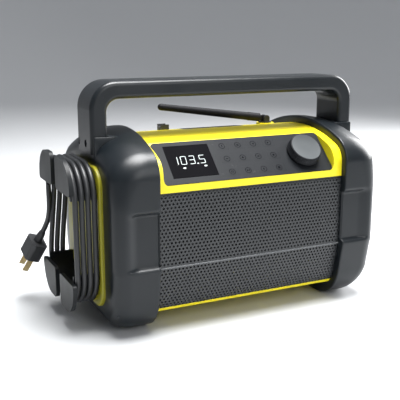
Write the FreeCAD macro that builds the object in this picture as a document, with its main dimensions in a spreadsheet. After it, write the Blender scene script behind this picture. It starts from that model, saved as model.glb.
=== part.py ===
import FreeCAD, Part
import math
import os

# Jobsite radio: two bumper end caps carry a shell, a slanted control panel, a
# bent loudspeaker grille, a wide carry handle and a cord winder on the left end.
# Body frame while building: X across from the middle of the shell, Y back from
# the front of the bumpers, Z up from the underside of the bumpers.

V = FreeCAD.Vector
doc = FreeCAD.newDocument("jobsite_radio")

# Driving dimensions in millimetres and degrees
SIZES = [
    ("inner_width", 210, "clear width between the end caps"),
    ("cap_width", 45, "width of one end cap"),
    ("body_depth", 178, "front to back over the end caps"),
    ("cap_height", 195, "height of an end cap"),
    ("cap_wall", 3, "wall of an end cap"),
    ("shoulder_radius", 28, "front shoulder of the side outline"),
    ("shoulder_turn", 66, "turn of that shoulder before the crown"),
    ("front_low", 66, "height where the front starts to lean back"),
    ("lean_drop", 32, "height of the leaning stretch"),
    ("lean_back", 6, "how far it leans back"),
    ("side_shoulder", 42, "outer top corner of a cap seen from the front"),
    ("side_foot", 24, "outer bottom corner of a cap seen from the front"),
    ("corner_radius", 14, "upright outer corner of a cap seen from above"),
    ("cap_ledge", 12, "inset of the opening in a cap's inner wall"),
    ("notch_low", 69, "bottom of the hollow in a cap's front"),
    ("notch_high", 126, "top of that hollow"),
    ("notch_reach", 32, "its width from the inner edge"),
    ("notch_depth", 4, "its depth"),
    ("foot_proud", 0.6, "how far the rubber feet stand below the caps"),
    ("foot_length", 26, "length of a rubber foot"),
    ("foot_width", 12, "width of a rubber foot"),
    ("foot_thick", 3, "thickness of a rubber foot"),
    ("reveal", 8, "the shells lie this far inside the cap outline"),
    ("shell_wall", 2.5, "wall of the shells"),
    ("bezel_low", 140, "lower edge of the top shell"),
    ("underside", 18, "underside of the bottom shell"),
    ("sill_top", 22, "upper edge of the bottom shell"),
    ("grille_sheet", 1.2, "thickness of the perforated sheet"),
    ("baffle_back", 17.5, "front of the baffle board from the bumper front"),
    ("baffle_thick", 3, "thickness of the baffle board"),
    ("baffle_rib", 4, "width of its forward rim"),
    ("speaker_spacing", 100, "between the two loudspeaker axes"),
    ("speaker_height", 84, "height of the loudspeaker axes"),
    ("speaker_outer", 90, "flange diameter of a loudspeaker"),
    ("speaker_bore", 78, "hole in the baffle for a cone"),
    ("speaker_deep", 24, "depth of a loudspeaker basket"),
    ("magnet_width", 46, "diameter of a loudspeaker magnet"),
    ("magnet_thick", 14, "thickness of a loudspeaker magnet"),
    ("cone_sheet", 1, "thickness of a paper cone"),
    ("panel_tilt", 44, "lean of the control panel above level"),
    ("panel_foot", 147.5, "height of the panel's lower edge"),
    ("panel_width", 193, "width of the control panel"),
    ("panel_x", -2, "middle of the control panel from the middle of the shell"),
    ("panel_length", 50, "length of the panel up its slope"),
    ("panel_thick", 3, "thickness of the control panel"),
    ("panel_corner", 5, "corner radius of the control panel"),
    ("panel_gap", 0.3, "gap round the control panel"),
    ("shelf_edge", 2.5, "width of the shelf that carries the panel"),
    ("display_x", -62, "middle of the display window"),
    ("display_y", 26, "its place up the slope"),
    ("display_width", 48, "width of the display window"),
    ("display_height", 38, "height of the display window"),
    ("module_deep", 4, "depth of the display module"),
    ("key_first", -22.5, "first column of keys"),
    ("key_column", 18, "between key columns"),
    ("key_low", 9, "lowest row of keys up the slope"),
    ("key_row", 16, "between key rows"),
    ("key_width", 13, "width of a key cap"),
    ("key_height", 9.5, "height of a key cap"),
    ("key_proud", 0.25, "how far a key stands out"),
    ("key_gap", 0.25, "gap round a key"),
    ("key_lip", 1, "width and thickness of a key's lip"),
    ("key_travel", 0.8, "travel of a key"),
    ("board_drop", 5, "from the panel's back to the key board"),
    ("board_thick", 1.6, "thickness of the circuit boards"),
    ("knob_x", 66.5, "middle of the volume knob"),
    ("knob_y", 24.5, "its place up the slope"),
    ("knob_base", 36, "diameter of the knob at its foot"),
    ("knob_face", 34.5, "diameter of the knob's face"),
    ("knob_height", 10, "height of the knob"),
    ("knob_lift", 0.5, "gap under the knob"),
    ("shaft_width", 6, "diameter of the encoder shaft"),
    ("run_gap", 0.05, "running clearance round a shaft"),
    ("handle_front", 57, "front of the handle from the bumper front"),
    ("handle_depth", 46, "handle width front to back"),
    ("handle_reach", 152, "outer face of the handle from the middle"),
    ("handle_thick", 17, "thickness of the handle"),
    ("handle_top", 242, "top of the handle"),
    ("handle_outer", 27, "outer corner radius of the handle"),
    ("handle_round", 4.5, "edge radius of the handle"),
    ("leg_end", 173, "lower end of a handle leg"),
    ("boss_reach", 150, "outer face of a handle socket"),
    ("boss_inner", 118, "inner face of a handle socket"),
    ("boss_rim", 3, "rim of the socket round the leg"),
    ("boss_top", 189, "top of a handle socket"),
    ("boss_low", 163, "underside of a handle socket"),
    ("fit_gap", 0.15, "gap between seated pieces"),
    ("screw_width", 3.5, "diameter of a screw shank"),
    ("screw_head", 7, "diameter of a screw head"),
    ("screw_high", 2, "height of a screw head"),
    ("screw_long", 22, "length under the head"),
    ("antenna_x", 76, "antenna swivel from the middle"),
    ("antenna_back", 29, "antenna swivel behind the radio's middle"),
    ("antenna_rise", 7.9, "antenna angle above level"),
    ("antenna_clear", 0.3, "gap under the antenna's eye"),
    ("eye_radius", 3.4, "radius of the antenna's eye"),
    ("rod_start", 8.2, "from the fold pin to the rod's foot"),
    ("antenna_long", 135, "length of the antenna from its pin"),
    ("antenna_foot", 4.7, "radius of the antenna at its foot"),
    ("antenna_tip", 3.5, "radius of the antenna at its tip"),
    ("seat_width", 20, "diameter of the boss under the swivel"),
    ("seat_proud", 0.3, "how far that boss stands out of the crown"),
    ("foot_disc", 1.2, "thickness of the swivel's foot"),
    ("knuckle_width", 15, "diameter of the swivel's foot"),
    ("ear_thick", 2.4, "thickness of a fork ear"),
    ("eye_thick", 4.4, "thickness of the antenna's eye"),
    ("pin_width", 3, "diameter of the fold pin"),
    ("clip_x", -52, "antenna clip from the middle"),
    ("clip_long", 9, "length of the antenna clip"),
    ("plate_thick", 3.5, "thickness of the yellow side plate"),
    ("plate_front", 34, "front edge of the side plate"),
    ("plate_low", 23, "lower edge of the side plate"),
    ("plate_high", 163, "upper edge of the side plate"),
    ("plate_corner", 20, "corner radius of the side plate"),
    ("hook_span", 24.8, "room for the cord between plate and paddles"),
    ("paddle_thick", 4, "thickness of a hook's paddle"),
    ("paddle_width", 48, "width of a hook's paddle"),
    ("paddle_height", 33, "height of a hook's paddle"),
    ("paddle_lip", 10, "how far a paddle reaches past the outside of its post"),
    ("paddle_corner", 28, "outer corner radius of a paddle"),
    ("post_front", 43, "outside of the front hook posts"),
    ("post_low", 30, "outside of the lower hook posts"),
    ("post_high", 162, "outside of the upper hook posts"),
    ("post_corner", 29, "outside radius of a hook post"),
    ("post_wall", 4, "thickness of a hook post"),
    ("post_run", 8, "straight stretch of a hook post past its bend"),
    ("cord_width", 5.6, "diameter of the mains cord"),
    ("cord_pitch", 6.15, "between neighbouring turns"),
    ("cord_turns", 4, "turns round the hooks"),
    ("cord_slack", 0.35, "gap between cord and post"),
    ("climb_run", 62, "height over which the cord steps out to its next turn"),
    ("gland_long", 28, "length of the cord gland"),
    ("gland_back", 128, "rear end of the gland from the bumper front"),
    ("gland_high", 7.4, "height of the cord gland"),
]
sheet = doc.addObject("Spreadsheet::Sheet", "Sizes")
for row, (alias, value, note) in enumerate(SIZES, 1):
    sheet.set(f"A{row}", note)
    sheet.set(f"B{row}", str(value))
    sheet.setAlias(f"B{row}", alias)
doc.recompute()


def size(alias):
    """The value of one named cell."""
    return float(sheet.get(alias))


NODES = []
SHIFT_X = "(Sizes.inner_width / 2 + Sizes.cap_width + Sizes.plate_thick + Sizes.hook_span"
SHIFT_X += " + Sizes.paddle_thick - Sizes.handle_reach) / 2"
SHIFT_Y = "-Sizes.body_depth / 2"
PANEL_Y = "Sizes.reveal"


def seat_on_feet(obj):
    """Move a body-frame object so that the radio stands centred on the origin."""
    obj.setExpression("Placement.Base.x", SHIFT_X)
    obj.setExpression("Placement.Base.y", SHIFT_Y)
    obj.setExpression("Placement.Base.z", "Sizes.foot_proud")


def seat_on_panel(obj):
    """Lay an object built flat onto the slanted control panel."""
    obj.Placement.Rotation = FreeCAD.Rotation(V(1, 0, 0), size("panel_tilt"))
    obj.setExpression("Placement.Rotation.Angle", "Sizes.panel_tilt")
    obj.setExpression("Placement.Base.x", SHIFT_X)
    obj.setExpression("Placement.Base.y", f"{SHIFT_Y} + {PANEL_Y}")
    obj.setExpression("Placement.Base.z", "Sizes.panel_foot + Sizes.foot_proud")


def node(obj, label, seat=seat_on_feet):
    """Register a finished sub-part under its own name."""
    obj.Label = label
    seat(obj)
    NODES.append(obj)
    return obj


def solid_node(shape, label, seat=seat_on_feet):
    """A sub-part whose shape is worked out here from the sheet."""
    feature = doc.addObject("Part::Feature", label)
    bare = shape.copy()
    bare.Placement = FreeCAD.Placement()
    feature.Shape = bare.transformed(shape.Placement.toMatrix(), copy=True)
    return node(feature, label, seat)


def bind(obj, sizes):
    """Tie properties of an object to expressions on the sheet."""
    for prop, text in sizes.items():
        obj.setExpression(prop, text)
    return obj


def box_feature(name, length, width, height, x, y, z):
    """A parametric box from its size and its lowest corner."""
    box = doc.addObject("Part::Box", name)
    return bind(box, {"Length": length, "Width": width, "Height": height,
                      "Placement.Base.x": x, "Placement.Base.y": y, "Placement.Base.z": z})


def rod_feature(name, radius, height, x, y, z):
    """A parametric upright cylinder from the middle of its lower end."""
    rod = doc.addObject("Part::Cylinder", name)
    return bind(rod, {"Radius": radius, "Height": height,
                      "Placement.Base.x": x, "Placement.Base.y": y, "Placement.Base.z": z})


def joined(kind, name, pieces):
    """A parametric union or difference of features, in order."""
    result = pieces[0]
    for index, piece in enumerate(pieces[1:], 1):
        step = doc.addObject(kind, f"{name}_{index}")
        step.Base = result
        step.Tool = piece
        result = step
    return result


def block(x0, x1, y0, y1, z0, z1):
    """A plain box solid between two corners."""
    return Part.makeBox(x1 - x0, y1 - y0, z1 - z0, V(x0, y0, z0))


def rod_y(radius, y0, y1, x, z):
    """A cylinder that lies along Y."""
    return Part.makeCylinder(radius, y1 - y0, V(x, y0, z), V(0, 1, 0))


def rod_x(radius, x0, x1, y, z):
    """A cylinder that lies along X."""
    return Part.makeCylinder(radius, x1 - x0, V(x0, y, z), V(1, 0, 0))


def rod_z(radius, z0, z1, x, y):
    """An upright cylinder."""
    return Part.makeCylinder(radius, z1 - z0, V(x, y, z0), V(0, 0, 1))


def closed(edges):
    """A planar face inside a closed chain of edges."""
    return Part.Face(Part.Wire(edges))


def line(a, b):
    return Part.LineSegment(a, b).toShape()


def arc(a, middle, b):
    return Part.Arc(a, middle, b).toShape()


def side_outline(inset, x=0.0):
    """The radio's side outline, drawn inwards by an inset, as a face at x."""
    half = size("body_depth") / 2
    shoulder = size("shoulder_radius")
    turn = math.radians(size("shoulder_turn"))
    crown = shoulder + (half - shoulder) / math.cos(turn)
    bend_z = size("cap_height") - crown + (crown - shoulder) * math.sin(turn)
    lean = math.atan2(size("lean_back"), size("lean_drop"))
    low = size("front_low") + inset * math.tan(lean / 2)
    foot_z = size("front_low") - size("lean_drop")
    foot = foot_z / (1 - math.sin(lean))
    foot_y = size("lean_back") + foot * math.cos(lean)

    def at(angle, centre_y, centre_z, radius):
        return V(x, centre_y - radius * math.cos(angle), centre_z + radius * math.sin(angle))

    def mirrored(point):
        return V(point.x, 2 * half - point.y, point.z)

    under = V(x, foot_y, inset)
    toe = at(-lean, foot_y, foot, foot - inset)
    toe_middle = at(-(lean + math.pi / 2) / 2, foot_y, foot, foot - inset)
    knee = V(x, inset, low)
    bend = V(x, inset, bend_z)
    bend_middle = at(turn / 2, shoulder, bend_z, shoulder - inset)
    brow = at(turn, shoulder, bend_z, shoulder - inset)
    top = V(x, half, size("cap_height") - inset)
    front = [under, toe_middle, toe, knee, bend, bend_middle, brow]
    back = [mirrored(p) for p in front]
    return closed([
        arc(front[0], front[1], front[2]), line(front[2], front[3]), line(front[3], front[4]),
        arc(front[4], front[5], front[6]), arc(front[6], top, back[6]),
        arc(back[6], back[5], back[4]), line(back[4], back[3]), line(back[3], back[2]),
        arc(back[2], back[1], back[0]), line(back[0], front[0])])


def side_prism(inset, x0, x1):
    """The side outline carried from x0 to x1."""
    return side_outline(inset, x0).extrude(V(x1 - x0, 0, 0))


def crown_height(inset, y):
    """Height of the inset outline's broad crown at a distance back."""
    half = size("body_depth") / 2
    shoulder = size("shoulder_radius")
    crown = shoulder + (half - shoulder) / math.cos(math.radians(size("shoulder_turn")))
    middle_z = size("cap_height") - crown
    return middle_z + math.sqrt((crown - inset) ** 2 - (y - half) ** 2)


def rounded_face(corners, radii):
    """A polygon in an axis plane with its corners rounded, as a face."""
    edges = []
    count = len(corners)
    ends = []
    for i, corner in enumerate(corners):
        before = (corners[i - 1] - corner).normalize()
        after = (corners[(i + 1) % count] - corner).normalize()
        radius = radii[i]
        half_turn = before.getAngle(after) / 2
        cut = radius / math.tan(half_turn) if radius else 0.0
        bisector = (before + after).normalize()
        middle = corner + bisector * (radius / math.sin(half_turn) - radius)
        ends.append((corner + before * cut, middle, corner + after * cut, radius))
    for i, (start, middle, end, radius) in enumerate(ends):
        if radius:
            edges.append(arc(start, middle, end))
        following = ends[(i + 1) % count][0]
        if (following - end).Length > 1e-6:
            edges.append(line(end, following))
    return closed(edges)


def cap_blank(inset):
    """A right-hand end cap's outer body: three outlines crossed with each other."""
    x0 = size("inner_width") / 2 + inset
    x1 = size("inner_width") / 2 + size("cap_width") - inset
    top = size("cap_height") - inset
    depth = size("body_depth")
    seen_from_side = side_prism(inset, x0, x1)
    front = rounded_face(
        [V(x0, 0, inset), V(x1, 0, inset), V(x1, 0, top), V(x0, 0, top)],
        [0, size("side_foot") - inset, size("side_shoulder") - inset, 0])
    plan = rounded_face(
        [V(x0, inset, 0), V(x1, inset, 0), V(x1, depth - inset, 0), V(x0, depth - inset, 0)],
        [0, size("corner_radius") - inset, size("corner_radius") - inset, 0])
    seen_from_front = front.extrude(V(0, depth, 0))
    seen_from_above = plan.extrude(V(0, 0, size("cap_height")))
    return seen_from_side.common(seen_from_front).common(seen_from_above)


def leg_screw_spots():
    """Where the two screws of a handle leg go: distance back and height."""
    front = size("handle_front")
    depth = size("handle_depth")
    height = size("leg_end") + 9
    return [(front + depth * 0.4, height), (front + depth * 0.88, height)]


# End caps: moulded rubber-skinned bumpers with a socket for the handle
def end_cap():
    wall = size("cap_wall")
    inner = size("inner_width") / 2
    outer = inner + size("cap_width")
    gap = size("fit_gap")
    front = size("handle_front")
    back = front + size("handle_depth")
    rim = size("boss_rim")
    boss_face = rounded_face(
        [V(0, front - rim, size("boss_low")), V(0, back + rim, size("boss_low")),
         V(0, back + rim, size("boss_top")), V(0, front - rim, size("boss_top"))],
        [8, 8, 2, 2])
    boss = boss_face.extrude(V(size("boss_reach") - size("boss_inner"), 0, 0))
    boss.translate(V(size("boss_inner"), 0, 0))
    cavity = cap_blank(wall).cut(boss)
    shape = cap_blank(0).fuse(boss).cut(cavity)
    shape = shape.cut(side_prism(size("cap_ledge"), inner - 1, inner + wall + 1))
    slot_face = rounded_face(
        [V(0, front - gap, size("leg_end") - gap), V(0, back + gap, size("leg_end") - gap),
         V(0, back + gap, size("boss_top") + 10), V(0, front - gap, size("boss_top") + 10)],
        [0, 0, 0, 0])
    slot_inner = size("handle_reach") - size("handle_thick") - gap
    slot = slot_face.extrude(V(size("boss_reach") + 1 - slot_inner, 0, 0))
    slot.translate(V(slot_inner, 0, 0))
    shape = shape.cut(slot)
    for y, z in leg_screw_spots():
        hole_end = size("handle_reach") - size("screw_long") - 1
        shape = shape.cut(rod_x(size("screw_width") / 2, hole_end, slot_inner + 1, y, z))
    low, high, deep = size("notch_low"), size("notch_high"), size("notch_depth")
    bevel = deep * 1.3
    notch_face = closed([
        line(V(0, -1, low), V(0, 0, low)), line(V(0, 0, low), V(0, deep, low + deep * 0.6)),
        line(V(0, deep, low + deep * 0.6), V(0, deep, high - bevel)),
        line(V(0, deep, high - bevel), V(0, 0, high)), line(V(0, 0, high), V(0, -1, high)),
        line(V(0, -1, high), V(0, -1, low))])
    notch = notch_face.extrude(V(size("notch_reach") + 1, 0, 0))
    notch.translate(V(inner - 1, 0, 0))
    pad = side_prism(0, inner, inner + size("notch_reach") + wall)
    pad = pad.cut(side_prism(deep + wall, inner - 1, outer)).common(
        block(inner, outer, 0, 30, low - wall, high + wall))
    shape = shape.fuse(pad.common(cap_blank(0))).cut(notch)
    for y0, y1 in foot_spans():
        x0, x1 = foot_limits()
        shape = shape.fuse(block(x0 - 2, x1 + 2, y0 - 2, y1 + 2, 0, size("foot_thick") + 1))
        shape = shape.cut(block(x0 - gap, x1 + gap, y0 - gap, y1 + gap, -1,
                                size("foot_thick") - size("foot_proud")))
    return shape.removeSplitter()


def foot_limits():
    """Left and right of a foot under the right-hand cap."""
    middle = size("inner_width") / 2 + (size("cap_width") - size("side_foot")) / 2
    return middle - size("foot_width") / 2, middle + size("foot_width") / 2


def foot_spans():
    """Front to back stretches of the two feet of a cap."""
    lean = math.atan2(size("lean_back"), size("lean_drop"))
    foot = (size("front_low") - size("lean_drop")) / (1 - math.sin(lean))
    first = size("lean_back") + foot * math.cos(lean) + 1
    length = size("foot_length")
    return [(first, first + length), (size("body_depth") - first - length, size("body_depth") - first)]


def to_left(shape):
    """The mirror image of a right-hand shape."""
    return shape.mirror(V(0, 0, 0), V(1, 0, 0))


right_cap = end_cap()
solid_node(right_cap, "right_end_cap")
solid_node(to_left(right_cap), "left_end_cap")

# Rubber feet pressed into the caps
foot_blocks = []
for side in (1, -1):
    for y0, y1 in foot_spans():
        x0, x1 = foot_limits()
        foot_top = size("foot_thick") - size("foot_proud")
        pad = block(x0, x1, y0, y1, -size("foot_proud"), foot_top)
        foot_blocks.append(pad if side > 0 else to_left(pad))
solid_node(Part.makeCompound(foot_blocks), "rubber_feet")


def panel_place():
    """The control panel's own frame inside the body frame."""
    return FreeCAD.Placement(V(0, size("reveal"), size("panel_foot")),
                             FreeCAD.Rotation(V(1, 0, 0), size("panel_tilt")))


def on_slope(shape):
    """A flat-built shape laid on the slope, still in the body frame."""
    moved = shape.copy()
    moved.Placement = panel_place()
    return moved


# Top shell: yellow, over the shoulder and the crown, with the panel's shelf
half_width = size("inner_width") / 2
depth = size("body_depth")
wall = size("shell_wall")
shell_body = side_prism(size("reveal"), -half_width, half_width)
shell_room = side_prism(size("reveal") + wall, -half_width - 1, half_width + 1)
above_bezel = block(-half_width, half_width, 0, depth, size("bezel_low"), size("cap_height"))
panel_left = size("panel_x") - size("panel_width") / 2
panel_right = size("panel_x") + size("panel_width") / 2
panel_length = size("panel_length")
shelf_deep = size("panel_thick") + wall
gap = size("panel_gap")
slope_slab = on_slope(block(-half_width, half_width, -20, 90, -shelf_deep, 60))
top_shell = shell_body.cut(shell_room).fuse(shell_body.common(slope_slab)).common(above_bezel)
pocket_low = -size("panel_thick")
pocket_corner = size("panel_corner") + gap
pocket = rounded_face(
    [V(panel_left - gap, -gap, pocket_low), V(panel_right + gap, -gap, pocket_low),
     V(panel_right + gap, 90, pocket_low), V(panel_left - gap, 90, pocket_low)],
    [pocket_corner, pocket_corner, 0, 0]).extrude(V(0, 0, 60 - pocket_low))
top_shell = top_shell.cut(on_slope(pocket))
edge = size("shelf_edge")
top_shell = top_shell.cut(on_slope(block(
    panel_left + edge, panel_right - edge, edge, panel_length - edge, -30, 1)))
boss_x, boss_y = size("antenna_x"), depth / 2 + size("antenna_back")
seat_top = crown_height(size("reveal"), boss_y - size("seat_width") / 2) + size("seat_proud")
top_shell = top_shell.fuse(rod_z(size("seat_width") / 2, seat_top - 9, seat_top,
                                 boss_x, boss_y))
top_shell = top_shell.cut(rod_z(3 + size("run_gap"), seat_top - 20, seat_top + 1,
                                boss_x, boss_y))
solid_node(top_shell.removeSplitter(), "top_shell")

# Bottom shell: a shallow yellow tray between the caps
tray = shell_body.common(block(-half_width, half_width, 0, depth,
                               size("underside"), size("sill_top")))
tray_room = shell_room.common(block(-half_width - 1, half_width + 1, 0, depth,
                                    size("underside") + wall, size("sill_top") + 1))
board_spots = [(x, depth - back) for x in (18, 92) for back in (100, 36)]
bottom_shell = tray.cut(tray_room)
for x, y in board_spots:
    bottom_shell = bottom_shell.fuse(rod_z(3.5, size("underside"), size("underside") + 12, x, y))
solid_node(bottom_shell.removeSplitter(), "bottom_shell")

# Rear shell: the dark back wall, with a battery door and a socket opening
rear_wall = shell_body.cut(shell_room).common(
    block(-half_width, half_width, depth / 2, depth, size("sill_top"), size("bezel_low")))
back_out = depth - size("reveal")
back_in = back_out - wall
door = {"x0": -38.0, "x1": 38.0, "z0": 76.0, "z1": 116.0}
flap = {"x0": 58.0, "x1": 90.0, "z0": 88.0, "z1": 106.0}
rear_wall = rear_wall.cut(block(door["x0"], door["x1"], back_in - 1, back_out + 1,
                                door["z0"], door["z1"]))
rear_wall = rear_wall.cut(block(flap["x0"] + 3, flap["x1"] - 3, back_in - 1, back_out + 1,
                                flap["z0"] + 2, flap["z1"] - 2))
rear_wall = rear_wall.cut(block(flap["x0"], flap["x1"], back_out - 1.2, back_out + 1,
                                flap["z0"], flap["z1"]))
solid_node(rear_wall.removeSplitter(), "rear_shell")

# Grille: one bent perforated sheet, drawn here without its holes
grille_zone = block(-half_width, half_width, 0, 60, size("sill_top"), size("bezel_low"))
grille = shell_body.cut(side_prism(size("reveal") + size("grille_sheet"),
                                   -half_width - 1, half_width + 1)).common(grille_zone)
solid_node(grille, "speaker_grille")

# Baffle board behind the grille, with a forward rim that the sheet rests on
behind_grille = side_prism(size("reveal") + size("grille_sheet"), -half_width, half_width)
board_front = size("baffle_back")
board_back = board_front + size("baffle_thick")
rib = size("baffle_rib")
baffle = behind_grille.common(block(-half_width, half_width, 0, board_back,
                                    size("sill_top"), size("bezel_low")))
baffle = baffle.cut(block(-half_width + rib, half_width - rib, 0, board_front,
                          size("sill_top") + rib, size("bezel_low") - rib))
spacing = size("speaker_spacing") / 2
axis_z = size("speaker_height")
for x in (-spacing, spacing):
    baffle = baffle.cut(rod_y(size("speaker_bore") / 2, board_front - 1, board_back + 1, x, axis_z))
solid_node(baffle.removeSplitter(), "speaker_baffle")


def turned(points, x, z):
    """A solid turned about a line along Y, from radius and depth pairs."""
    corners = [V(x + radius, y, z) for radius, y in points]
    edges = [line(a, b) for a, b in zip(corners, corners[1:] + corners[:1])]
    return closed(edges).revolve(V(x, 0, z), V(0, 1, 0), 360)


# Loudspeakers: a basket, a paper cone and a magnet each
for side, x in (("left", -spacing), ("right", spacing)):
    outer = size("speaker_outer") / 2
    bore = size("speaker_bore") / 2
    deep = size("speaker_deep")
    hub = size("magnet_width") / 2 - 3
    sheet_thick = size("cone_sheet")
    y0 = board_back
    solid_node(turned([(bore - 2, y0), (outer, y0), (outer, y0 + 2.5), (hub + 3, y0 + deep),
                       (9, y0 + deep), (9, y0 + deep - 2), (hub + 1, y0 + deep - 2),
                       (bore - 2, y0 + 2.5)], x, axis_z), f"{side}_speaker_frame")
    solid_node(turned([(bore - 2.2, y0 + 0.2), (bore - 2.2, y0 + 0.2 + sheet_thick),
                       (12, y0 + deep - 4), (8.5, y0 + deep - 2.2), (0.5, y0 + deep - 2.2),
                       (0.5, y0 + deep - 4), (11.5, y0 + deep - 5.5)], x, axis_z),
               f"{side}_speaker_cone")
    solid_node(rod_y(size("magnet_width") / 2, y0 + deep, y0 + deep + size("magnet_thick"),
                     x, axis_z), f"{side}_speaker_magnet")

# Control panel: a flat plate with windows for display, keys and encoder
DISPLAY_LOW_X = "Sizes.display_x - Sizes.display_width / 2"
DISPLAY_LOW_Y = "Sizes.display_y - Sizes.display_height / 2"
plate = box_feature("panel_plate", "Sizes.panel_width", "Sizes.panel_length", "Sizes.panel_thick",
                    "Sizes.panel_x - Sizes.panel_width / 2", "0", "-Sizes.panel_thick")
cutters = [box_feature(
    "display_cut", "Sizes.display_width + 2 * Sizes.key_gap",
    "Sizes.display_height + 2 * Sizes.key_gap", "Sizes.panel_thick * 3",
    f"{DISPLAY_LOW_X} - Sizes.key_gap", f"{DISPLAY_LOW_Y} - Sizes.key_gap",
    "-Sizes.panel_thick * 2")]
cutters.append(rod_feature("encoder_cut", "Sizes.shaft_width / 2 + 1", "Sizes.panel_thick * 3",
                           "Sizes.knob_x", "Sizes.knob_y", "-Sizes.panel_thick * 2"))
KEY_COLUMNS = 4
KEY_ROWS = 3


def key_middle(column, row):
    """Expressions for the middle of a key, rows counted from the top."""
    x = f"Sizes.key_first + {column} * Sizes.key_column"
    y = f"Sizes.key_low + {KEY_ROWS - 1 - row} * Sizes.key_row"
    return x, y


for row in range(KEY_ROWS):
    for column in range(KEY_COLUMNS):
        x, y = key_middle(column, row)
        cutters.append(box_feature(
            f"key_cut_{row}{column}", "Sizes.key_width + 2 * Sizes.key_gap",
            "Sizes.key_height + 2 * Sizes.key_gap", "Sizes.panel_thick * 3",
            f"{x} - Sizes.key_width / 2 - Sizes.key_gap",
            f"{y} - Sizes.key_height / 2 - Sizes.key_gap", "-Sizes.panel_thick * 2"))
rounded_plate = doc.addObject("Part::Fillet", "rounded_plate")
rounded_plate.Base = plate
doc.recompute()
upright = [i + 1 for i, e in enumerate(plate.Shape.Edges)
           if abs(e.tangentAt(e.FirstParameter).z) > 0.9]
rounded_plate.Edges = [(i, size("panel_corner"), size("panel_corner")) for i in upright]
panel = joined("Part::Cut", "panel_cut", [rounded_plate] + cutters)
posts = []
for index, (x, y) in enumerate(((-1, 0), (1, 0), (-1, 1), (1, 1))):
    spot_y = "Sizes.shelf_edge + 5" if y == 0 else "Sizes.panel_length - Sizes.shelf_edge - 5"
    posts.append(rod_feature(
        f"board_post_{index}", "2", "Sizes.board_drop",
        f"Sizes.panel_x + {x} * (Sizes.panel_width / 2 - Sizes.shelf_edge - 3.5)", spot_y,
        "-Sizes.panel_thick - Sizes.board_drop"))
node(joined("Part::Fuse", "panel_posts", [panel] + posts), "control_panel", seat_on_panel)

# Display window and the module behind it
node(box_feature("window", "Sizes.display_width", "Sizes.display_height", "Sizes.panel_thick",
                 "0", "0", "0"), "display_window", seat_on_panel)
window = NODES[-1]
window.setExpression("Placement.Base.x", f"{SHIFT_X} + {DISPLAY_LOW_X}")
window.setExpression(
    "Placement.Base.y", f"{SHIFT_Y} + {PANEL_Y} + ({DISPLAY_LOW_Y}) * cos(Sizes.panel_tilt * 1deg)"
    " + Sizes.panel_thick * sin(Sizes.panel_tilt * 1deg)")
window.setExpression(
    "Placement.Base.z", f"Sizes.panel_foot + Sizes.foot_proud + ({DISPLAY_LOW_Y})"
    " * sin(Sizes.panel_tilt * 1deg) - Sizes.panel_thick * cos(Sizes.panel_tilt * 1deg)")

back = -size("panel_thick")
module_x, module_y = size("display_x"), size("display_y")
module_w, module_h = size("display_width") / 2 - 2, size("display_height") / 2 - 1
solid_node(block(module_x - module_w, module_x + module_w, module_y - module_h,
                 module_y + module_h, back - size("module_deep"), back),
           "display_module", seat_on_panel)

# Key board with one switch under each key, screwed to the panel's posts
board_top = back - size("board_drop")
key_board = block(panel_left + edge + 1.5, panel_right - edge - 1.5, edge + 1,
                  panel_length - edge - 1, board_top - size("board_thick"), board_top)
switch_gap = 0.15
lip_bottom = back - switch_gap - size("key_lip")
switch_top = lip_bottom - size("key_travel") - switch_gap


def key_spots():
    """Name and middle of every key, row by row."""
    for row in range(KEY_ROWS):
        for column in range(KEY_COLUMNS):
            x = size("key_first") + column * size("key_column")
            y = size("key_low") + (KEY_ROWS - 1 - row) * size("key_row")
            yield f"key_{row + 1}_{column + 1}", x, y


for name, x, y in key_spots():
    key_board = key_board.fuse(block(x - 3, x + 3, y - 3, y + 3, board_top, switch_top))
solid_node(key_board.removeSplitter(), "key_board", seat_on_panel)

# Twelve keys, each a cap with a lip that stops it under the panel
for name, x, y in key_spots():
    half_w, half_h = size("key_width") / 2, size("key_height") / 2
    lip = size("key_lip")
    cap_face = rounded_face(
        [V(x - half_w, y - half_h, lip_bottom), V(x + half_w, y - half_h, lip_bottom),
         V(x + half_w, y + half_h, lip_bottom), V(x - half_w, y + half_h, lip_bottom)],
        [1.5] * 4)
    cap = cap_face.extrude(V(0, 0, size("key_proud") - lip_bottom))
    foot = block(x - half_w - lip, x + half_w + lip, y - half_h - lip, y + half_h + lip,
                 lip_bottom, lip_bottom + lip)
    solid_node(cap.fuse(foot).removeSplitter(), name, seat_on_panel)

# Rotary encoder, its shaft and the volume knob
knob_x, knob_y = size("knob_x"), size("knob_y")
shaft = size("shaft_width") / 2
encoder = block(knob_x - 7, knob_x + 7, knob_y - 7, knob_y + 7, board_top, back)
encoder = encoder.fuse(rod_z(shaft + 0.8, back, size("knob_lift") - 0.4, knob_x, knob_y))
encoder = encoder.cut(rod_z(shaft + size("run_gap"), board_top + 1, 5, knob_x, knob_y))
solid_node(encoder, "rotary_encoder", seat_on_panel)
shaft_top = size("knob_lift") + size("knob_height") - 2
solid_node(rod_z(shaft, board_top + 1.1, shaft_top, knob_x, knob_y), "encoder_shaft", seat_on_panel)
lift = size("knob_lift")
knob = Part.makeCone(size("knob_base") / 2, size("knob_face") / 2, size("knob_height"),
                     V(knob_x, knob_y, lift))
knob = knob.cut(rod_z(shaft, lift - 1, shaft_top, knob_x, knob_y))
knob = knob.cut(rod_z(size("knob_base") / 2 - 3, lift - 1, lift + 6, knob_x, knob_y).cut(
    rod_z(shaft + 2.5, lift - 1, lift + 7, knob_x, knob_y)))
solid_node(knob, "volume_knob", seat_on_panel)

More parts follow.
